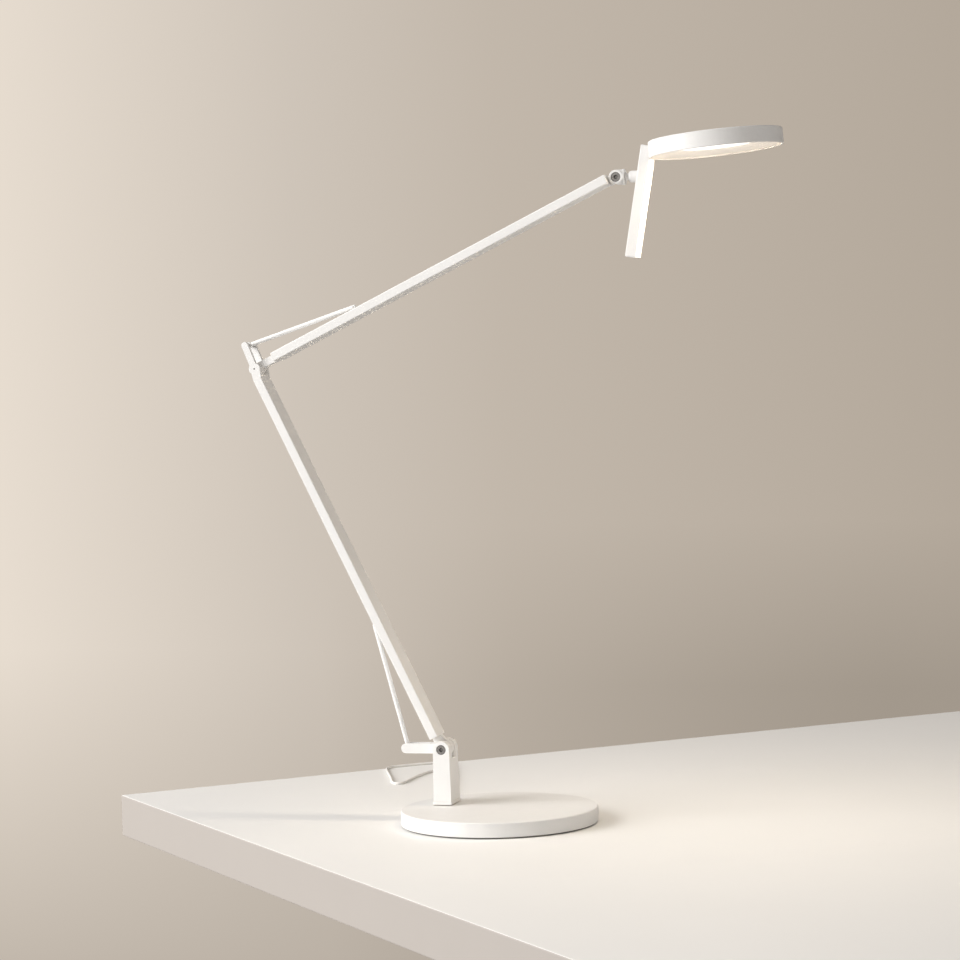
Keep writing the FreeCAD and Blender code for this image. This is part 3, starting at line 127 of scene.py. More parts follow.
class Finish:
    """A node material with its shader at hand, mapped by the row frame's own metres."""

    def __init__(self, name, colour, roughness, metallic=0.0):
        self.material = bpy.data.materials.new(name)
        self.material.use_nodes = True
        self.tree = self.material.node_tree
        self.shader = self.tree.nodes["Principled BSDF"]
        self.shader.inputs["Base Color"].default_value = (*colour, 1.0)
        self.shader.inputs["Roughness"].default_value = roughness
        self.shader.inputs["Metallic"].default_value = metallic
        self.material.diffuse_color = (*colour, 1.0)
        self.place = self.node("ShaderNodeTexCoord").outputs["Object"]

    def node(self, kind, **values):
        made = self.tree.nodes.new(kind)
        for key, value in values.items():
            setattr(made, key, value)
        return made

    def link(self, output, target):
        self.tree.links.new(output, target)

    def noise(self, size, detail=2.0, roughness=0.5, stretch=(1.0, 1.0, 1.0)):
        """Noise whose blotches are about this many metres across."""
        mapping = self.node("ShaderNodeMapping")
        mapping.inputs["Scale"].default_value = [share / size for share in stretch]
        self.link(self.place, mapping.inputs["Vector"])
        texture = self.node("ShaderNodeTexNoise")
        texture.inputs["Scale"].default_value = 1.0
        texture.inputs["Detail"].default_value = detail
        texture.inputs["Roughness"].default_value = roughness
        self.link(mapping.outputs["Vector"], texture.inputs["Vector"])
        return texture.outputs["Fac"]

    def drift(self, size, detail=2.0):
        """Soft patches about this many metres across, from 0 to 1."""
        return self.span(self.noise(size, detail), 0.35, 0.65)

    def distance(self, centre):
        """How far a place is from this point, in metres."""
        shift = self.node("ShaderNodeVectorMath", operation="DISTANCE")
        shift.inputs[1].default_value = centre
        self.link(self.place, shift.inputs[0])
        return shift.outputs["Value"]

    def maths(self, operation, first, second):
        """Two values put together by a math node."""
        made = self.node("ShaderNodeMath", operation=operation)
        self.link(first, made.inputs[0])
        self.link(second, made.inputs[1])
        return made.outputs[0]

    def span(self, value, low, high, start=0.0, end=1.0):
        """The value between two limits, carried to another span."""
        ramp = self.node("ShaderNodeMapRange", clamp=True)
        ramp.inputs["From Min"].default_value = low
        ramp.inputs["From Max"].default_value = high
        ramp.inputs["To Min"].default_value = start
        ramp.inputs["To Max"].default_value = end
        self.link(value, ramp.inputs["Value"])
        return ramp.outputs["Result"]

    def blend(self, factor, colour_a, colour_b):
        """A colour between two colours, each a value or another node's output."""
        mix = self.node("ShaderNodeMix", data_type="RGBA")
        for socket, colour in ((mix.inputs[6], colour_a), (mix.inputs[7], colour_b)):
            if isinstance(colour, bpy.types.NodeSocket):
                self.link(colour, socket)
            else:
                socket.default_value = (*colour, 1.0)
        self.link(factor, mix.inputs[0])
        return mix.outputs[2]

    def colour(self, output):
        self.link(output, self.shader.inputs["Base Color"])

    def bump(self, height, depth, strength=1.0, under=None):
        """A bump of this depth in metres, on top of another bump if one is given."""
        bump = self.node("ShaderNodeBump")
        bump.inputs["Strength"].default_value = strength
        bump.inputs["Distance"].default_value = depth
        self.link(height, bump.inputs["Height"])
        if under is not None:
            self.link(under, bump.inputs["Normal"])
        self.link(bump.outputs["Normal"], self.shader.inputs["Normal"])
        return bump.outputs["Normal"]

    def crevices(self, reach):
        """How open a place is: 1 on a free surface and less in a gap this wide."""
        shade = self.node("ShaderNodeAmbientOcclusion", samples=8)
        shade.inputs["Distance"].default_value = reach
        return shade.outputs["AO"]


def darker(colour, share):
    return tuple(channel * share for channel in colour)


def wear(nodes, finish):
    """Give CAD nodes a finish in place of the one they came with."""
    for name in nodes:
        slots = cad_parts[name].material_slots
        for slot in slots:
            slot.material = finish.material
        if not slots:
            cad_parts[name].data.materials.append(finish.material)


def soften(nodes, radius, angle=40.0):
    """Round the sharp edges of CAD nodes a little and shade the rest smoothly."""
    for name in nodes:
        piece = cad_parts[name]
        piece.data.shade_smooth()
        edge = piece.modifiers.new("edge_round", "BEVEL")
        edge.width = radius
        edge.segments = 2
        edge.limit_method = "ANGLE"
        edge.angle_limit = math.radians(angle)
        edge.use_clamp_overlap = True
        edge.harden_normals = True


# Finishes --------------------------------------------------------------------------------

def powder_coat(name, settings, share=1.0):
    """Matt off-white powder coat: fine orange peel, faint drift of tone, painted shade in the gaps.
    """
    base = darker(settings.colour, share)
    paint = Finish(name, base, settings.roughness)
    tone = paint.blend(paint.drift(0.045, 3.0), darker(base, 0.982), base)
    fleck = paint.span(paint.noise(settings.grain * 1.7, 1.0), 0.62, 0.78)
    tone = paint.blend(fleck, tone, darker(base, 0.955))
    # Painted shade: gaps and corners are darkened towards a warm grey by ambient occlusion.
    gap = paint.span(paint.crevices(0.0035), 0.35, 0.95)
    gap_shade = (base[0] * 0.86, base[1] * 0.83, base[2] * 0.79)
    paint.colour(paint.blend(gap, gap_shade, tone))
    sheen = paint.span(paint.noise(0.012, 2.0), 0.3, 0.7,
                       settings.roughness - 0.05, settings.roughness + 0.06)
    paint.link(sheen, paint.shader.inputs["Roughness"])
    paint.shader.inputs["Specular IOR Level"].default_value = 0.42
    swell = paint.bump(
        paint.noise(settings.grain * 4.0, 1.0), settings.grain_depth * 1.6, 0.5)
    paint.bump(paint.noise(settings.grain, 2.0, 0.55), settings.grain_depth, 0.6, swell)
    return paint


def dark_steel(name, colour):
    """Blackened screw steel: turning marks, a little wear to bare metal and painted shade in the
    socket and round the head.
    """
    steel = Finish(name, colour, 0.38, 1.0)
    worn = steel.span(steel.noise(0.0014, 4.0, 0.6), 0.45, 0.7)
    face = steel.blend(worn, colour, (colour[0] * 1.6, colour[1] * 1.59, colour[2] * 1.57))
    # Painted shade: the socket and the gap round the screw head are darkened by ambient occlusion.
    open_air = steel.span(steel.crevices(0.0016), 0.45, 0.9)
    steel.colour(steel.blend(open_air, darker(colour, 0.12), face))
    steel.link(steel.span(steel.noise(0.0008, 2.0), 0.3, 0.7, 0.3, 0.48),
               steel.shader.inputs["Roughness"])
    steel.bump(steel.noise(0.0005, 2.0, stretch=(1.0, 6.0, 1.0)), 0.00002, 0.5)
    return steel


def bright_steel(name, colour):
    """Machined steel with fine lines round the turned parts."""
    steel = Finish(name, colour, 0.26, 1.0)
    line = steel.noise(0.0004, 3.0, stretch=(1.0, 1.0, 9.0))
    steel.colour(steel.blend(line, darker(colour, 0.86), colour))
    steel.link(steel.span(line, 0.3, 0.7, 0.2, 0.34), steel.shader.inputs["Roughness"])
    steel.bump(line, 0.00001, 0.4)
    return steel


def cast_iron(name):
    iron = Finish(name, (0.085, 0.083, 0.08), 0.62, 0.6)
    cloud = iron.span(iron.noise(0.006, 5.0, 0.65), 0.4, 0.7)
    iron.colour(iron.blend(cloud, (0.06, 0.058, 0.056), (0.13, 0.122, 0.112)))
    iron.bump(iron.noise(0.0009, 4.0, 0.6), 0.00018, 0.8)
    return iron


def brass(name):
    metal = Finish(name, (0.62, 0.44, 0.19), 0.3, 1.0)
    line = metal.noise(0.0005, 2.0, stretch=(1.0, 1.0, 8.0))
    metal.colour(metal.blend(line, (0.5, 0.34, 0.13), (0.68, 0.5, 0.23)))
    metal.bump(line, 0.00001, 0.4)
    return metal


def rubber(name, colour, roughness=0.62, grain=0.0005):
    """Moulded rubber or soft plastic with a fine spark-eroded grain."""
    soft = Finish(name, colour, roughness)
    soft.colour(soft.blend(soft.drift(0.02, 3.0), darker(colour, 0.9), colour))
    soft.link(soft.span(soft.noise(0.004, 2.0), 0.3, 0.7, roughness - 0.07, roughness + 0.08),
              soft.shader.inputs["Roughness"])
    soft.shader.inputs["Specular IOR Level"].default_value = 0.35
    soft.bump(soft.noise(grain, 2.0), 0.00003, 0.6)
    return soft


def acetal(name, colour):
    """Slippery moulded plastic of the carriages."""
    plastic = Finish(name, colour, 0.4)
    plastic.colour(plastic.blend(plastic.noise(0.003, 2.0), darker(colour, 0.93), colour))
    plastic.shader.inputs["Subsurface Weight"].default_value = 0.05
    plastic.bump(plastic.noise(0.0007, 2.0), 0.00002, 0.5)
    return plastic


def friction_fibre(name):
    disc = Finish(name, (0.33, 0.31, 0.28), 0.7)
    fibre = disc.noise(0.0006, 4.0, 0.7, stretch=(3.0, 1.0, 3.0))
    disc.colour(disc.blend(
        disc.span(fibre, 0.35, 0.7), (0.24, 0.225, 0.2), (0.42, 0.4, 0.36)))
    disc.bump(fibre, 0.00005, 0.8)
    return disc


def diffuser_middle():
    low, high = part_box("diffuser")
    return (low + high) / 2


def opal(name, settings):
    """The lit opal diffuser: brighter towards the middle, with a faint frosting."""
    glow = Finish(name, (0.9, 0.88, 0.84), 0.45)
    away = glow.span(glow.distance(diffuser_middle()), 0.0, DIFFUSER_REACH)
    tone = glow.blend(away, settings.glow, darker(settings.glow, 0.9))
    glow.link(tone, glow.shader.inputs["Emission Color"])
    glow.shader.inputs["Emission Strength"].default_value = settings.glow_strength
    glow.bump(glow.noise(0.0006, 2.0), 0.00002, 0.4)
    return glow


def reflector_white(name, settings):
    """Satin white moulding round the diffuser, with a painted glow standing in for the light that
    creeps over it.
    """
    ring = Finish(name, (0.8, 0.775, 0.735), 0.38)
    ring.colour(ring.blend(ring.drift(0.03), (0.78, 0.755, 0.715), (0.81, 0.785, 0.75)))
    # Painted light: the reflector glows warm near the diffuser and dimmer further out, though it is
    # no lamp.
    away = ring.span(ring.distance(diffuser_middle()), CREEP_START, CREEP_END)
    painted_creep = ring.blend(away, (0.42, 0.37, 0.31), (0.24, 0.2, 0.155))
    ring.link(painted_creep, ring.shader.inputs["Emission Color"])
    ring.shader.inputs["Emission Strength"].default_value = settings.painted_creep
    ring.bump(ring.noise(0.0008, 2.0), 0.00002, 0.4)
    return ring


def solder_mask(name):
    board = Finish(name, (0.78, 0.79, 0.76), 0.35)
    patch = board.span(board.noise(0.005, 2.0), 0.4, 0.6)
    board.colour(board.blend(patch, (0.74, 0.75, 0.72), (0.8, 0.81, 0.78)))
    board.bump(board.noise(0.001, 2.0), 0.00003, 0.4)
    return board


# Cord ------------------------------------------------------------------------------------

# The free cord's route in metres: out of the strain relief, along the table and back.
CORD_ROUTE = (
    (-0.07842, 0.09346, 0.0048), (-0.08742, 0.10418, 0.0048),
    (-0.0965, 0.1215, 0.0014), (-0.102, 0.145, 0.0014), (-0.109, 0.178, 0.0014),
    (-0.1225, 0.224, 0.0014), (-0.134, 0.272, 0.0014), (-0.1495, 0.318, 0.0014),
    (-0.1538, 0.346, 0.0014), (-0.1715, 0.3475, 0.0014), (-0.1778, 0.322, 0.0014),
    (-0.1798, 0.288, 0.0014), (-0.1784, 0.246, 0.0014), (-0.1912, 0.2454, 0.0014),
    (-0.204, 0.284, 0.0014), (-0.2195, 0.321, 0.0014), (-0.2368, 0.366, 0.0014),
    (-0.219, 0.3824, 0.0014), (-0.1877, 0.4108, 0.0014), (-0.1688, 0.4052, 0.0014),
    (-0.1535, 0.37, 0.0014), (-0.141, 0.326, 0.0014), (-0.1265, 0.278, 0.0014),
    (-0.1135, 0.229, 0.0014), (-0.101, 0.184, 0.0014), (-0.0885, 0.160, 0.0014),
    (-0.068, 0.1506, 0.0014), (-0.0448, 0.150, 0.0014),
)


def coil_route(settings):
    """Points of the put-away coil: inwards on the table, up one layer, and outwards on top."""
    steps = 16
    turns = settings.coil_turns
    last = int((2 * turns + 0.5) * steps)
    spread = 1.0 / math.cos(math.pi / steps) ** 2
    low = settings.diameter / 2
    points = []
    for step in range(last + 1):
        turn = step / steps
        share = max(0.0, min(1.0, (turn - turns) / 0.5))
        height = low + settings.coil_pitch * share * share * (3 - 2 * share)
        radius = settings.coil_radius - settings.coil_pitch * min(turn, 2 * turns + 0.5 - turn)
        angle = math.pi / 2 - 2 * math.pi * turn
        wide = radius * (spread if 0 < step < last else 1.0)
        offset = Vector((wide * math.cos(angle), wide * math.sin(angle), height))
        points.append(settings.coil_centre + offset)
    first, end = points[0], points[-1]
    lead = Vector((settings.diameter, 0.0, 0.0))
    return [first - lead] + points + [end - lead]


def lay_cord(settings, finish):
    """The supply cord as one smooth curve from the strain relief to the connector."""
    points = [Vector(point) for point in CORD_ROUTE] + coil_route(settings)
    curve = bpy.data.curves.new("supply_cord", "CURVE")
    curve.dimensions = "3D"
    spline = curve.splines.new("NURBS")
    spline.points.add(len(points) - 1)
    for control, point in zip(spline.points, points):
        control.co = (*point, 1.0)
    spline.order_u = 3
    spline.use_endpoint_u = True
    spline.resolution_u = 6
    curve.bevel_depth = settings.diameter / 2
    curve.bevel_resolution = 4
    curve.use_fill_caps = True
    curve.materials.append(finish.material)
    cord = bpy.data.objects.new("supply_cord", curve)
    bpy.context.scene.collection.objects.link(cord)
    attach(cord, "base")
    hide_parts("cord", "cord_coil")
    return cord


# Settings --------------------------------------------------------------------------------

class LampPaint(PropertyGroup):
    colour: FloatVectorProperty(
        name="Powder coat", description="Colour of the painted metal", subtype="COLOR", size=3,
        min=0.0, max=1.0, default=(0.83, 0.827, 0.819))
    roughness: FloatProperty(
        name="Roughness", description="How matt the powder coat is", subtype="FACTOR",
        min=0.0, max=1.0, default=0.5)
    grain: FloatProperty(
        name="Grain", description="Width of the powder coat's finest grain", unit="LENGTH",
        min=0.0001, max=0.005, default=0.0007, precision=5)
    grain_depth: FloatProperty(
        name="Grain depth", description="Depth of the powder coat's grain", unit="LENGTH",
        min=0.0, max=0.001, default=0.00002, precision=6)
    edge: FloatProperty(
        name="Edge radius", description="Rounding of the painted edges", unit="LENGTH",
        min=0.0, max=0.002, default=0.0005, precision=5)


class LampHardware(PropertyGroup):
    dark: FloatVectorProperty(
        name="Dark steel", description="Colour of the pivot screws", subtype="COLOR", size=3,
        min=0.0, max=1.0, default=(0.34, 0.33, 0.32))
    bright: FloatVectorProperty(
        name="Bright steel", description="Colour of the stud, washer and nut", subtype="COLOR",
        size=3,
        min=0.0, max=1.0, default=(0.62, 0.61, 0.59))
    slider: FloatVectorProperty(
        name="Slider plastic", description="Colour of the carriages", subtype="COLOR", size=3,
        min=0.0, max=1.0, default=(0.76, 0.745, 0.72))


class LampCord(PropertyGroup):
    diameter: FloatProperty(
        name="Diameter", description="Across the cord", unit="LENGTH", min=0.001, max=0.01,
        default=0.0028, precision=4)
    length: FloatProperty(
        name="Length", description="Whole cord from the base to its connector", unit="LENGTH",
        min=0.5, max=3.0, default=1.729, precision=3)
    coil_centre: FloatVectorProperty(
        name="Coil centre", description="Middle of the put-away coil on the table",
        subtype="TRANSLATION", unit="LENGTH", size=3, default=(-0.022, 0.128, 0.0), precision=4)
    coil_radius: FloatProperty(
        name="Coil radius", description="Outermost turn of the coil", unit="LENGTH", min=0.01,
        max=0.1, default=0.022, precision=4)
    coil_pitch: FloatProperty(
        name="Coil pitch", description="From turn to turn and from layer to layer", unit="LENGTH",
        min=0.001, max=0.02, default=0.0033, precision=4)
    coil_turns: IntProperty(
        name="Turns", description="Turns in each of the coil's two layers", min=1, max=8, default=4)
    sheath: FloatVectorProperty(
        name="Sheath", description="Colour of the cord", subtype="COLOR", size=3,
        min=0.0, max=1.0, default=(0.84, 0.83, 0.81))


class LampLight(PropertyGroup):
    glow: FloatVectorProperty(
        name="Glow", description="Colour of the lit diffuser", subtype="COLOR", size=3,
        min=0.0, max=1.0, default=(1.0, 0.97, 0.91))
    glow_strength: FloatProperty(
        name="Glow strength", description="Brightness of the lit diffuser", min=0.0, max=10.0,
        default=1.15)
    # Strength of the reflector's painted glow, standing in for light from the diffuser.
    painted_creep: FloatProperty(
        name="Creep", description="Light that creeps over the reflector round the diffuser",
        min=0.0, max=10.0, default=1.0)
    beam: FloatProperty(
        name="Beam", description="Light that the head throws on the table", unit="POWER",
        min=0.0, max=50.0, default=1.8)
    beam_tint: FloatVectorProperty(
        name="Beam tint", description="Colour of that light", subtype="COLOR", size=3,
        min=0.0, max=1.0, default=(1.0, 0.86, 0.68))


class LampStage(PropertyGroup):
    table: FloatVectorProperty(
        name="Table", description="Colour of the table top", subtype="COLOR", size=3,
        min=0.0, max=1.0, default=(0.85, 0.848, 0.838))
    edging: FloatVectorProperty(
        name="Table edging", description="Colour of the table's narrow sides", subtype="COLOR",
        size=3,
        min=0.0, max=1.0, default=(0.465, 0.43, 0.4))
    table_edge: FloatProperty(
        name="Table thickness", description="Thickness of the table top", unit="LENGTH",
        min=0.005, max=0.2, default=0.045)
    # The wall's four colours paint light and shade into the backdrop: bright on the left, dim on
    # the right.
    wall_near: FloatVectorProperty(
        name="Wall, bright side", description="Backdrop colour on the left", subtype="COLOR",
        size=3,
        min=0.0, max=1.0, default=(0.80, 0.72, 0.63))
    wall_left: FloatVectorProperty(
        name="Wall, left of the middle",
        description="Backdrop colour between bright side and middle",
        subtype="COLOR", size=3, min=0.0, max=1.0, default=(0.62, 0.555, 0.485))
    wall_middle: FloatVectorProperty(
        name="Wall, middle", description="Backdrop colour behind the lamp", subtype="COLOR", size=3,
        min=0.0, max=1.0, default=(0.54, 0.475, 0.405))
    wall_far: FloatVectorProperty(
        name="Wall, dim side", description="Backdrop colour on the right", subtype="COLOR", size=3,
        min=0.0, max=1.0, default=(0.455, 0.395, 0.33))
    key: FloatProperty(
        name="Key light", description="Large soft light from the left", unit="POWER",
        min=0.0, max=500.0, default=165.0)
    fill: FloatProperty(
        name="Fill light", description="Large soft light from the front", unit="POWER",
        min=0.0, max=500.0, default=12.0)
    room: FloatProperty(
        name="Room light", description="Light from all round", min=0.0, max=2.0,
        default=0.36)


# Operators -------------------------------------------------------------------------------

class LAMP_OT_paint_base(Operator):
    """Powder coat the base cover and finish what lies under it"""
    bl_idname = "lamp.paint_base"
    bl_label = "Paint Base"

    def execute(self, context):
        settings = context.scene.lamp_paint
        # Painted shade: the base cover's powder coat is a darker copy of the head's.
        wear(["base_cover"], powder_coat("base_powder_coat", settings, BASE_PAINTED_SHADE))
        wear(["base_weight"], cast_iron("ballast_iron"))
        wear(["base_pad"], rubber("pad_rubber", (0.16, 0.155, 0.148), 0.75, 0.0008))
        wear(["swivel_bush"], brass("bush_brass"))
        soften(["base_cover"], settings.edge * 0.8)
        return {"FINISHED"}


class LAMP_OT_paint_arms(Operator):
    """Powder coat the post, lever, arms, elbow and pull rods"""
    bl_idname = "lamp.paint_arms"
    bl_label = "Paint Arms"

    def execute(self, context):
        settings = context.scene.lamp_paint
        # Painted light: the arms' powder coat is a lighter copy of the head's.
        wear(PAINTED_ARMS, powder_coat("arm_powder_coat", settings, ARM_PAINTED_LIGHT))
        soften([name for name in PAINTED_ARMS if not name.endswith("_rod")], settings.edge)
        soften(["lower_rod", "upper_rod"], settings.edge * 0.5)
        return {"FINISHED"}


class LAMP_OT_paint_head(Operator):
    """Powder coat the knuckle, collar, handle bar and disc housing"""
    bl_idname = "lamp.paint_head"
    bl_label = "Paint Head"

    def execute(self, context):
        settings = context.scene.lamp_paint
        wear(PAINTED_HEAD, powder_coat("head_powder_coat", settings))
        soften(PAINTED_HEAD, settings.edge * 0.7)
        return {"FINISHED"}


class LAMP_OT_finish_hardware(Operator):
    """Finish the pivot screws, pins, stud, springs, carriages and friction discs"""
    bl_idname = "lamp.finish_hardware"
    bl_label = "Finish Hardware"

    def execute(self, context):
        settings = context.scene.lamp_hardware
        wear(DARK_HARDWARE, dark_steel("pivot_steel", settings.dark))
        wear(BRIGHT_HARDWARE, bright_steel("machined_steel", settings.bright))
        wear(SLIDERS, acetal("carriage_plastic", settings.slider))
        wear(FRICTION_DISCS, friction_fibre("friction_fibre"))
        soften(DARK_HARDWARE, FINE_EDGE)
        return {"FINISHED"}


class LAMP_OT_light_head(Operator):
    """Light the diffuser and finish the reflector, board and heat spreader behind it"""
    bl_idname = "lamp.light_head"
    bl_label = "Light Head"

    def execute(self, context):
        settings = context.scene.lamp_light
        wear(["diffuser"], opal("lit_opal", settings))
        wear(["reflector"], reflector_white("reflector_white", settings))
        wear(["light_board"], solder_mask("solder_mask"))
        wear(["heat_spreader"], bright_steel("spreader_aluminium", (0.7, 0.7, 0.69)))
        soften(["reflector", "diffuser"], MOULDED_EDGE)
        lamp = bpy.data.lights.new("head_beam", "AREA")
        lamp.shape = "DISK"
        lamp.size = BEAM_SIZE
        lamp.energy = settings.beam
        lamp.color = settings.beam_tint
        beam = bpy.data.objects.new("head_beam", lamp)
        beam.visible_camera = False
        up = Vector((math.sin(HEAD_LEAN), 0.0, math.cos(HEAD_LEAN)))
        beam.location = diffuser_middle() - up * BEAM_DROP
        beam.rotation_euler = (0.0, HEAD_LEAN, 0.0)
        context.scene.collection.objects.link(beam)
        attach(beam, "head")
        return {"FINISHED"}


class LAMP_OT_lay_cord(Operator):
    """Lay the supply cord behind the lamp with its spare length coiled, and finish its fittings"""
    bl_idname = "lamp.lay_cord"
    bl_label = "Lay Cord"

    def execute(self, context):
        settings = context.scene.lamp_cord
        sheath = rubber("cord_sheath", settings.sheath, 0.5, 0.0009)
        lay_cord(settings, sheath)
        wear(["cord_gland", "connector_grip"], sheath)
        wear(["connector_barrel"], bright_steel("barrel_nickel", (0.72, 0.71, 0.68)))
        soften(["connector_grip", "connector_barrel"], FINE_EDGE)
        return {"FINISHED"}


class LAMP_OT_set_stage(Operator):
    """Put a table top under the lamp, a wall behind it, soft lights and the camera"""
    bl_idname = "lamp.set_stage"
    bl_label = "Set Stage"

    def execute(self, context):
        settings = context.scene.lamp_stage
        make_table(settings)
        make_wall(settings)
        set_room_light(context.scene, settings)
        add_softbox("key_light", KEY_PLACE, KEY_SIZE, settings.key, KEY_TINT)
        add_softbox("fill_light", FILL_PLACE, FILL_SIZE, settings.fill, FILL_TINT)
        place_camera(context.scene)
        return {"FINISHED"}


# Stage -----------------------------------------------------------------------------------

def make_table(settings):
    """A plain pale table top whose far left corner shows, as in the photograph."""
    along, across = TABLE_ALONG * TABLE_REACH, TABLE_ACROSS * TABLE_REACH
    top = [TABLE_CORNER, TABLE_CORNER + along, TABLE_CORNER + along + across,
           TABLE_CORNER + across]
    drop = Vector((0.0, 0.0, -settings.table_edge))
    vertices = top + [point + drop for point in top]
    faces = [(0, 1, 2, 3), (7, 6, 5, 4)]
    for index in range(4):
        following = (index + 1) % 4
        faces.append((index, index + 4, following + 4, following))
    mesh = bpy.data.meshes.new("table_top")
    mesh.from_pydata(vertices, [], faces)
    mesh.update()
    table = bpy.data.objects.new("table_top", mesh)
    bpy.context.scene.collection.objects.link(table)
    edge = table.modifiers.new("edge_round", "BEVEL")
    edge.width = TABLE_EDGE_RADIUS
    edge.segments = 2
    finish = Finish("table_laminate", settings.table, 0.55)
    finish.colour(finish.blend(
        finish.drift(0.25, 3.0), darker(settings.table, 0.985), settings.table))
    finish.shader.inputs["Specular IOR Level"].default_value = 0.3
    finish.bump(finish.noise(0.0015, 2.0), 0.00002, 0.4)
    mesh.materials.append(finish.material)
    edging = Finish("table_edging", settings.edging, 0.6)
    edging.colour(edging.blend(
        edging.noise(0.05, 2.0), darker(settings.edging, 0.97), settings.edging))
    edging.bump(edging.noise(0.0015, 2.0), 0.00002, 0.4)
    mesh.materials.append(edging.material)
    for face in mesh.polygons:
        face.material_index = 0 if abs(face.normal.z) > 0.5 else 1


def make_wall(settings):
    """A plain wall far behind the table: flat tones matched for what sees it directly,
    in a mirror or through something clear, and ordinary paint for the light that it reflects."""
    mesh = bpy.data.meshes.new("wall")
    (left, right), (floor, ceiling) = WALL_SIDES, WALL_HEIGHTS
    corners = [(x, WALL_DISTANCE, z) for x, z in
               ((left, floor), (right, floor), (right, ceiling), (left, ceiling))]
    mesh.from_pydata(corners, [], [(0, 1, 2, 3)])
    mesh.update()
    wall = bpy.data.objects.new("wall", mesh)
    bpy.context.scene.collection.objects.link(wall)
    finish = Finish("wall_paint", settings.wall_near, 0.9)
    split = finish.node("ShaderNodeSeparateXYZ")
    finish.link(finish.place, split.inputs["Vector"])
    # Painted light: the colour ramp runs from the bright left side to the dim right side.
    slide = finish.node("ShaderNodeValToRGB")
    finish.link(finish.span(split.outputs["X"], WALL_BRIGHT_X, WALL_DIM_X), slide.inputs["Fac"])
    stops = slide.color_ramp.elements
    stops[0].color = (*settings.wall_near, 1.0)
    stops[1].color = (*settings.wall_far, 1.0)
    stops.new(WALL_LEFT_SHARE).color = (*settings.wall_left, 1.0)
    stops.new(WALL_MIDDLE_SHARE).color = (*settings.wall_middle, 1.0)
    # Painted shade darkens the foot of the wall.
    above_foot = finish.span(split.outputs["Z"], FOOT_LOW_Z, FOOT_HIGH_Z)
    shade = finish.blend(above_foot, darker(settings.wall_middle, 0.85), slide.outputs["Color"])
    # Painted shade darkens the lower right corner.
    low_right = finish.maths(
        "MULTIPLY", finish.span(split.outputs["X"], CORNER_LEFT_X, CORNER_RIGHT_X),
        finish.span(split.outputs["Z"], CORNER_HIGH_Z, CORNER_LOW_Z))
    shade = finish.blend(low_right, shade, darker(settings.wall_far, 0.8))
    finish.colour(shade)
    path = finish.node("ShaderNodeLightPath")
    indirect = finish.maths(
        "MAXIMUM", path.outputs["Is Glossy Ray"], path.outputs["Is Transmission Ray"])
    seen = finish.maths("MAXIMUM", path.outputs["Is Camera Ray"], indirect)
    emission = finish.node("ShaderNodeEmission")
    finish.link(shade, emission.inputs["Color"])
    mix = finish.node("ShaderNodeMixShader")
    finish.link(seen, mix.inputs[0])
    finish.link(finish.shader.outputs["BSDF"], mix.inputs[1])
    finish.link(emission.outputs["Emission"], mix.inputs[2])
    finish.link(mix.outputs["Shader"], finish.tree.nodes["Material Output"].inputs["Surface"])
    mesh.materials.append(finish.material)


def set_room_light(scene, settings):
    """Even light from all round, and a plain backdrop where the wall ends."""
    world = bpy.data.worlds.new("room")
    scene.world = world
    world.use_nodes = True
    nodes, links = world.node_tree.nodes, world.node_tree.links
    background = nodes["Background"]
    background.inputs["Color"].default_value = (*ROOM_TINT, 1.0)
    background.inputs["Strength"].default_value = settings.room
    seen = nodes.new("ShaderNodeBackground")
    seen.inputs["Color"].default_value = (*ROOM_BACKDROP, 1.0)
    seen.inputs["Strength"].default_value = 1.0
    path = nodes.new("ShaderNodeLightPath")
    mix = nodes.new("ShaderNodeMixShader")
    links.new(path.outputs["Is Camera Ray"], mix.inputs[0])
    links.new(background.outputs["Background"], mix.inputs[1])
    links.new(seen.outputs["Background"], mix.inputs[2])
    links.new(mix.outputs["Shader"], nodes["World Output"].inputs["Surface"])


def add_softbox(name, place, size, watts, tint):
    """A square soft light that points at the lamp."""
    lamp = bpy.data.lights.new(name, "AREA")
    lamp.size = size
    lamp.energy = watts
    lamp.color = tint
    box = bpy.data.objects.new(name, lamp)
    box.location = place
    box.rotation_mode = "QUATERNION"
    aim = Vector(LIGHT_TARGET) - Vector(place)
    box.rotation_quaternion = aim.to_track_quat("-Z", "Y")
    bpy.context.scene.collection.objects.link(box)


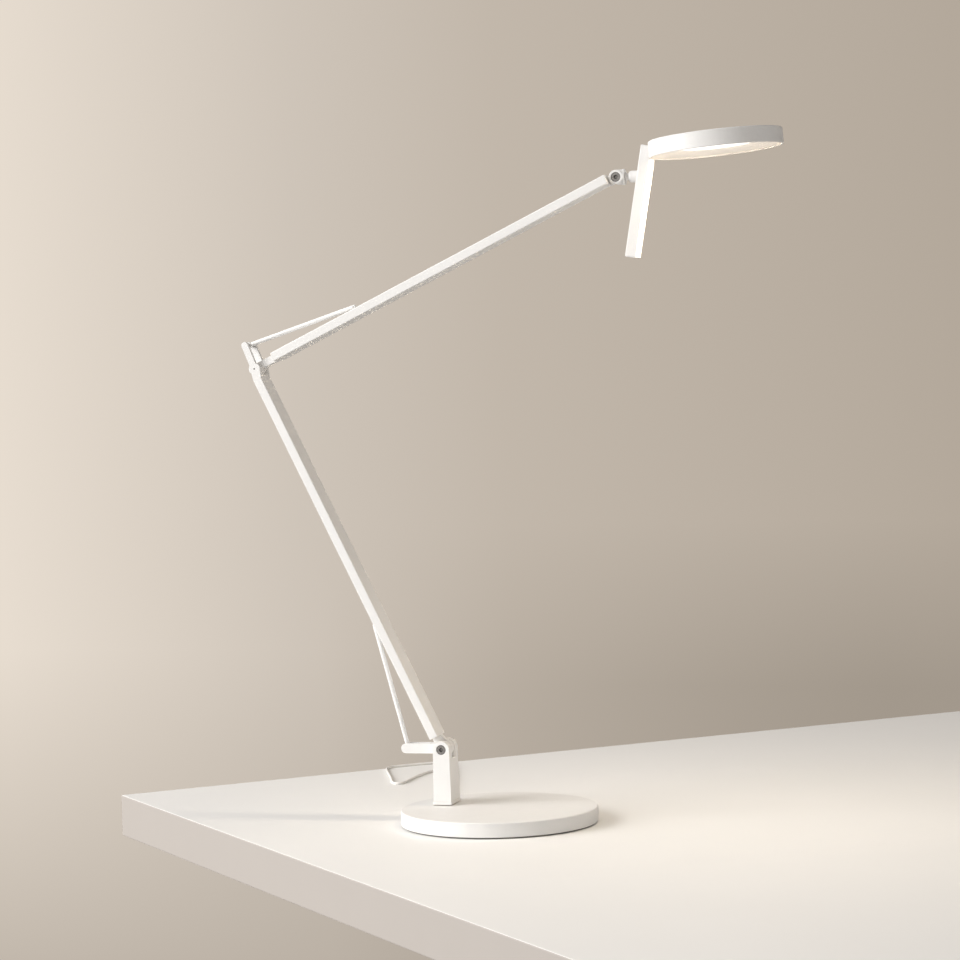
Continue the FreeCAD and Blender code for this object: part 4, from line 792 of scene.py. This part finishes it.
def place_camera(scene):
    """The camera that was solved from the photograph."""
    data = bpy.data.cameras.new("photo_camera")
    data.sensor_width = CAMERA_SENSOR
    data.lens = CAMERA_LENS
    data.clip_start = 0.05
    data.clip_end = 50.0
    camera = bpy.data.objects.new("photo_camera", data)
    right, up = Vector(CAMERA_RIGHT), Vector(CAMERA_UP)
    turn = Matrix((right, up, right.cross(up))).transposed()
    camera.matrix_world = Matrix.Translation(CAMERA_PLACE) @ turn.to_4x4()
    scene.collection.objects.link(camera)
    scene.camera = camera
    scene.view_settings.view_transform = "Standard"


# Panel and run ---------------------------------------------------------------------------

class LAMP_PT_looks(Panel):
    """Desk lamp finishes, cord, light and stage"""
    bl_idname = "LAMP_PT_looks"
    bl_label = "Desk Lamp"
    bl_space_type = "VIEW_3D"
    bl_region_type = "UI"
    bl_category = "Desk Lamp"

    def draw(self, context):
        layout = self.layout
        for name in SETTINGS:
            group = getattr(context.scene, name)
            box = layout.box()
            for key in group.__annotations__:
                box.prop(group, key)
        for operator in STEPS:
            layout.operator(operator.bl_idname)


SETTINGS = {
    "lamp_paint": LampPaint,
    "lamp_hardware": LampHardware,
    "lamp_cord": LampCord,
    "lamp_light": LampLight,
    "lamp_stage": LampStage,
}
STEPS = (
    LAMP_OT_set_stage, LAMP_OT_lay_cord, LAMP_OT_paint_base, LAMP_OT_paint_arms, LAMP_OT_paint_head,
    LAMP_OT_finish_hardware, LAMP_OT_light_head,
)


def register():
    for group in SETTINGS.values():
        bpy.utils.register_class(group)
    for name, group in SETTINGS.items():
        setattr(bpy.types.Scene, name, PointerProperty(type=group))
    for step in STEPS:
        bpy.utils.register_class(step)
    bpy.utils.register_class(LAMP_PT_looks)


def unregister():
    bpy.utils.unregister_class(LAMP_PT_looks)
    for step in reversed(STEPS):
        bpy.utils.unregister_class(step)
    for name, group in SETTINGS.items():
        delattr(bpy.types.Scene, name)
        bpy.utils.unregister_class(group)


def main():
    register()
    bpy.ops.lamp.set_stage()
    bpy.ops.lamp.lay_cord()
    bpy.ops.lamp.paint_base()
    bpy.ops.lamp.paint_arms()
    bpy.ops.lamp.paint_head()
    bpy.ops.lamp.finish_hardware()
    bpy.ops.lamp.light_head()


if __name__ == "__main__":
    main()
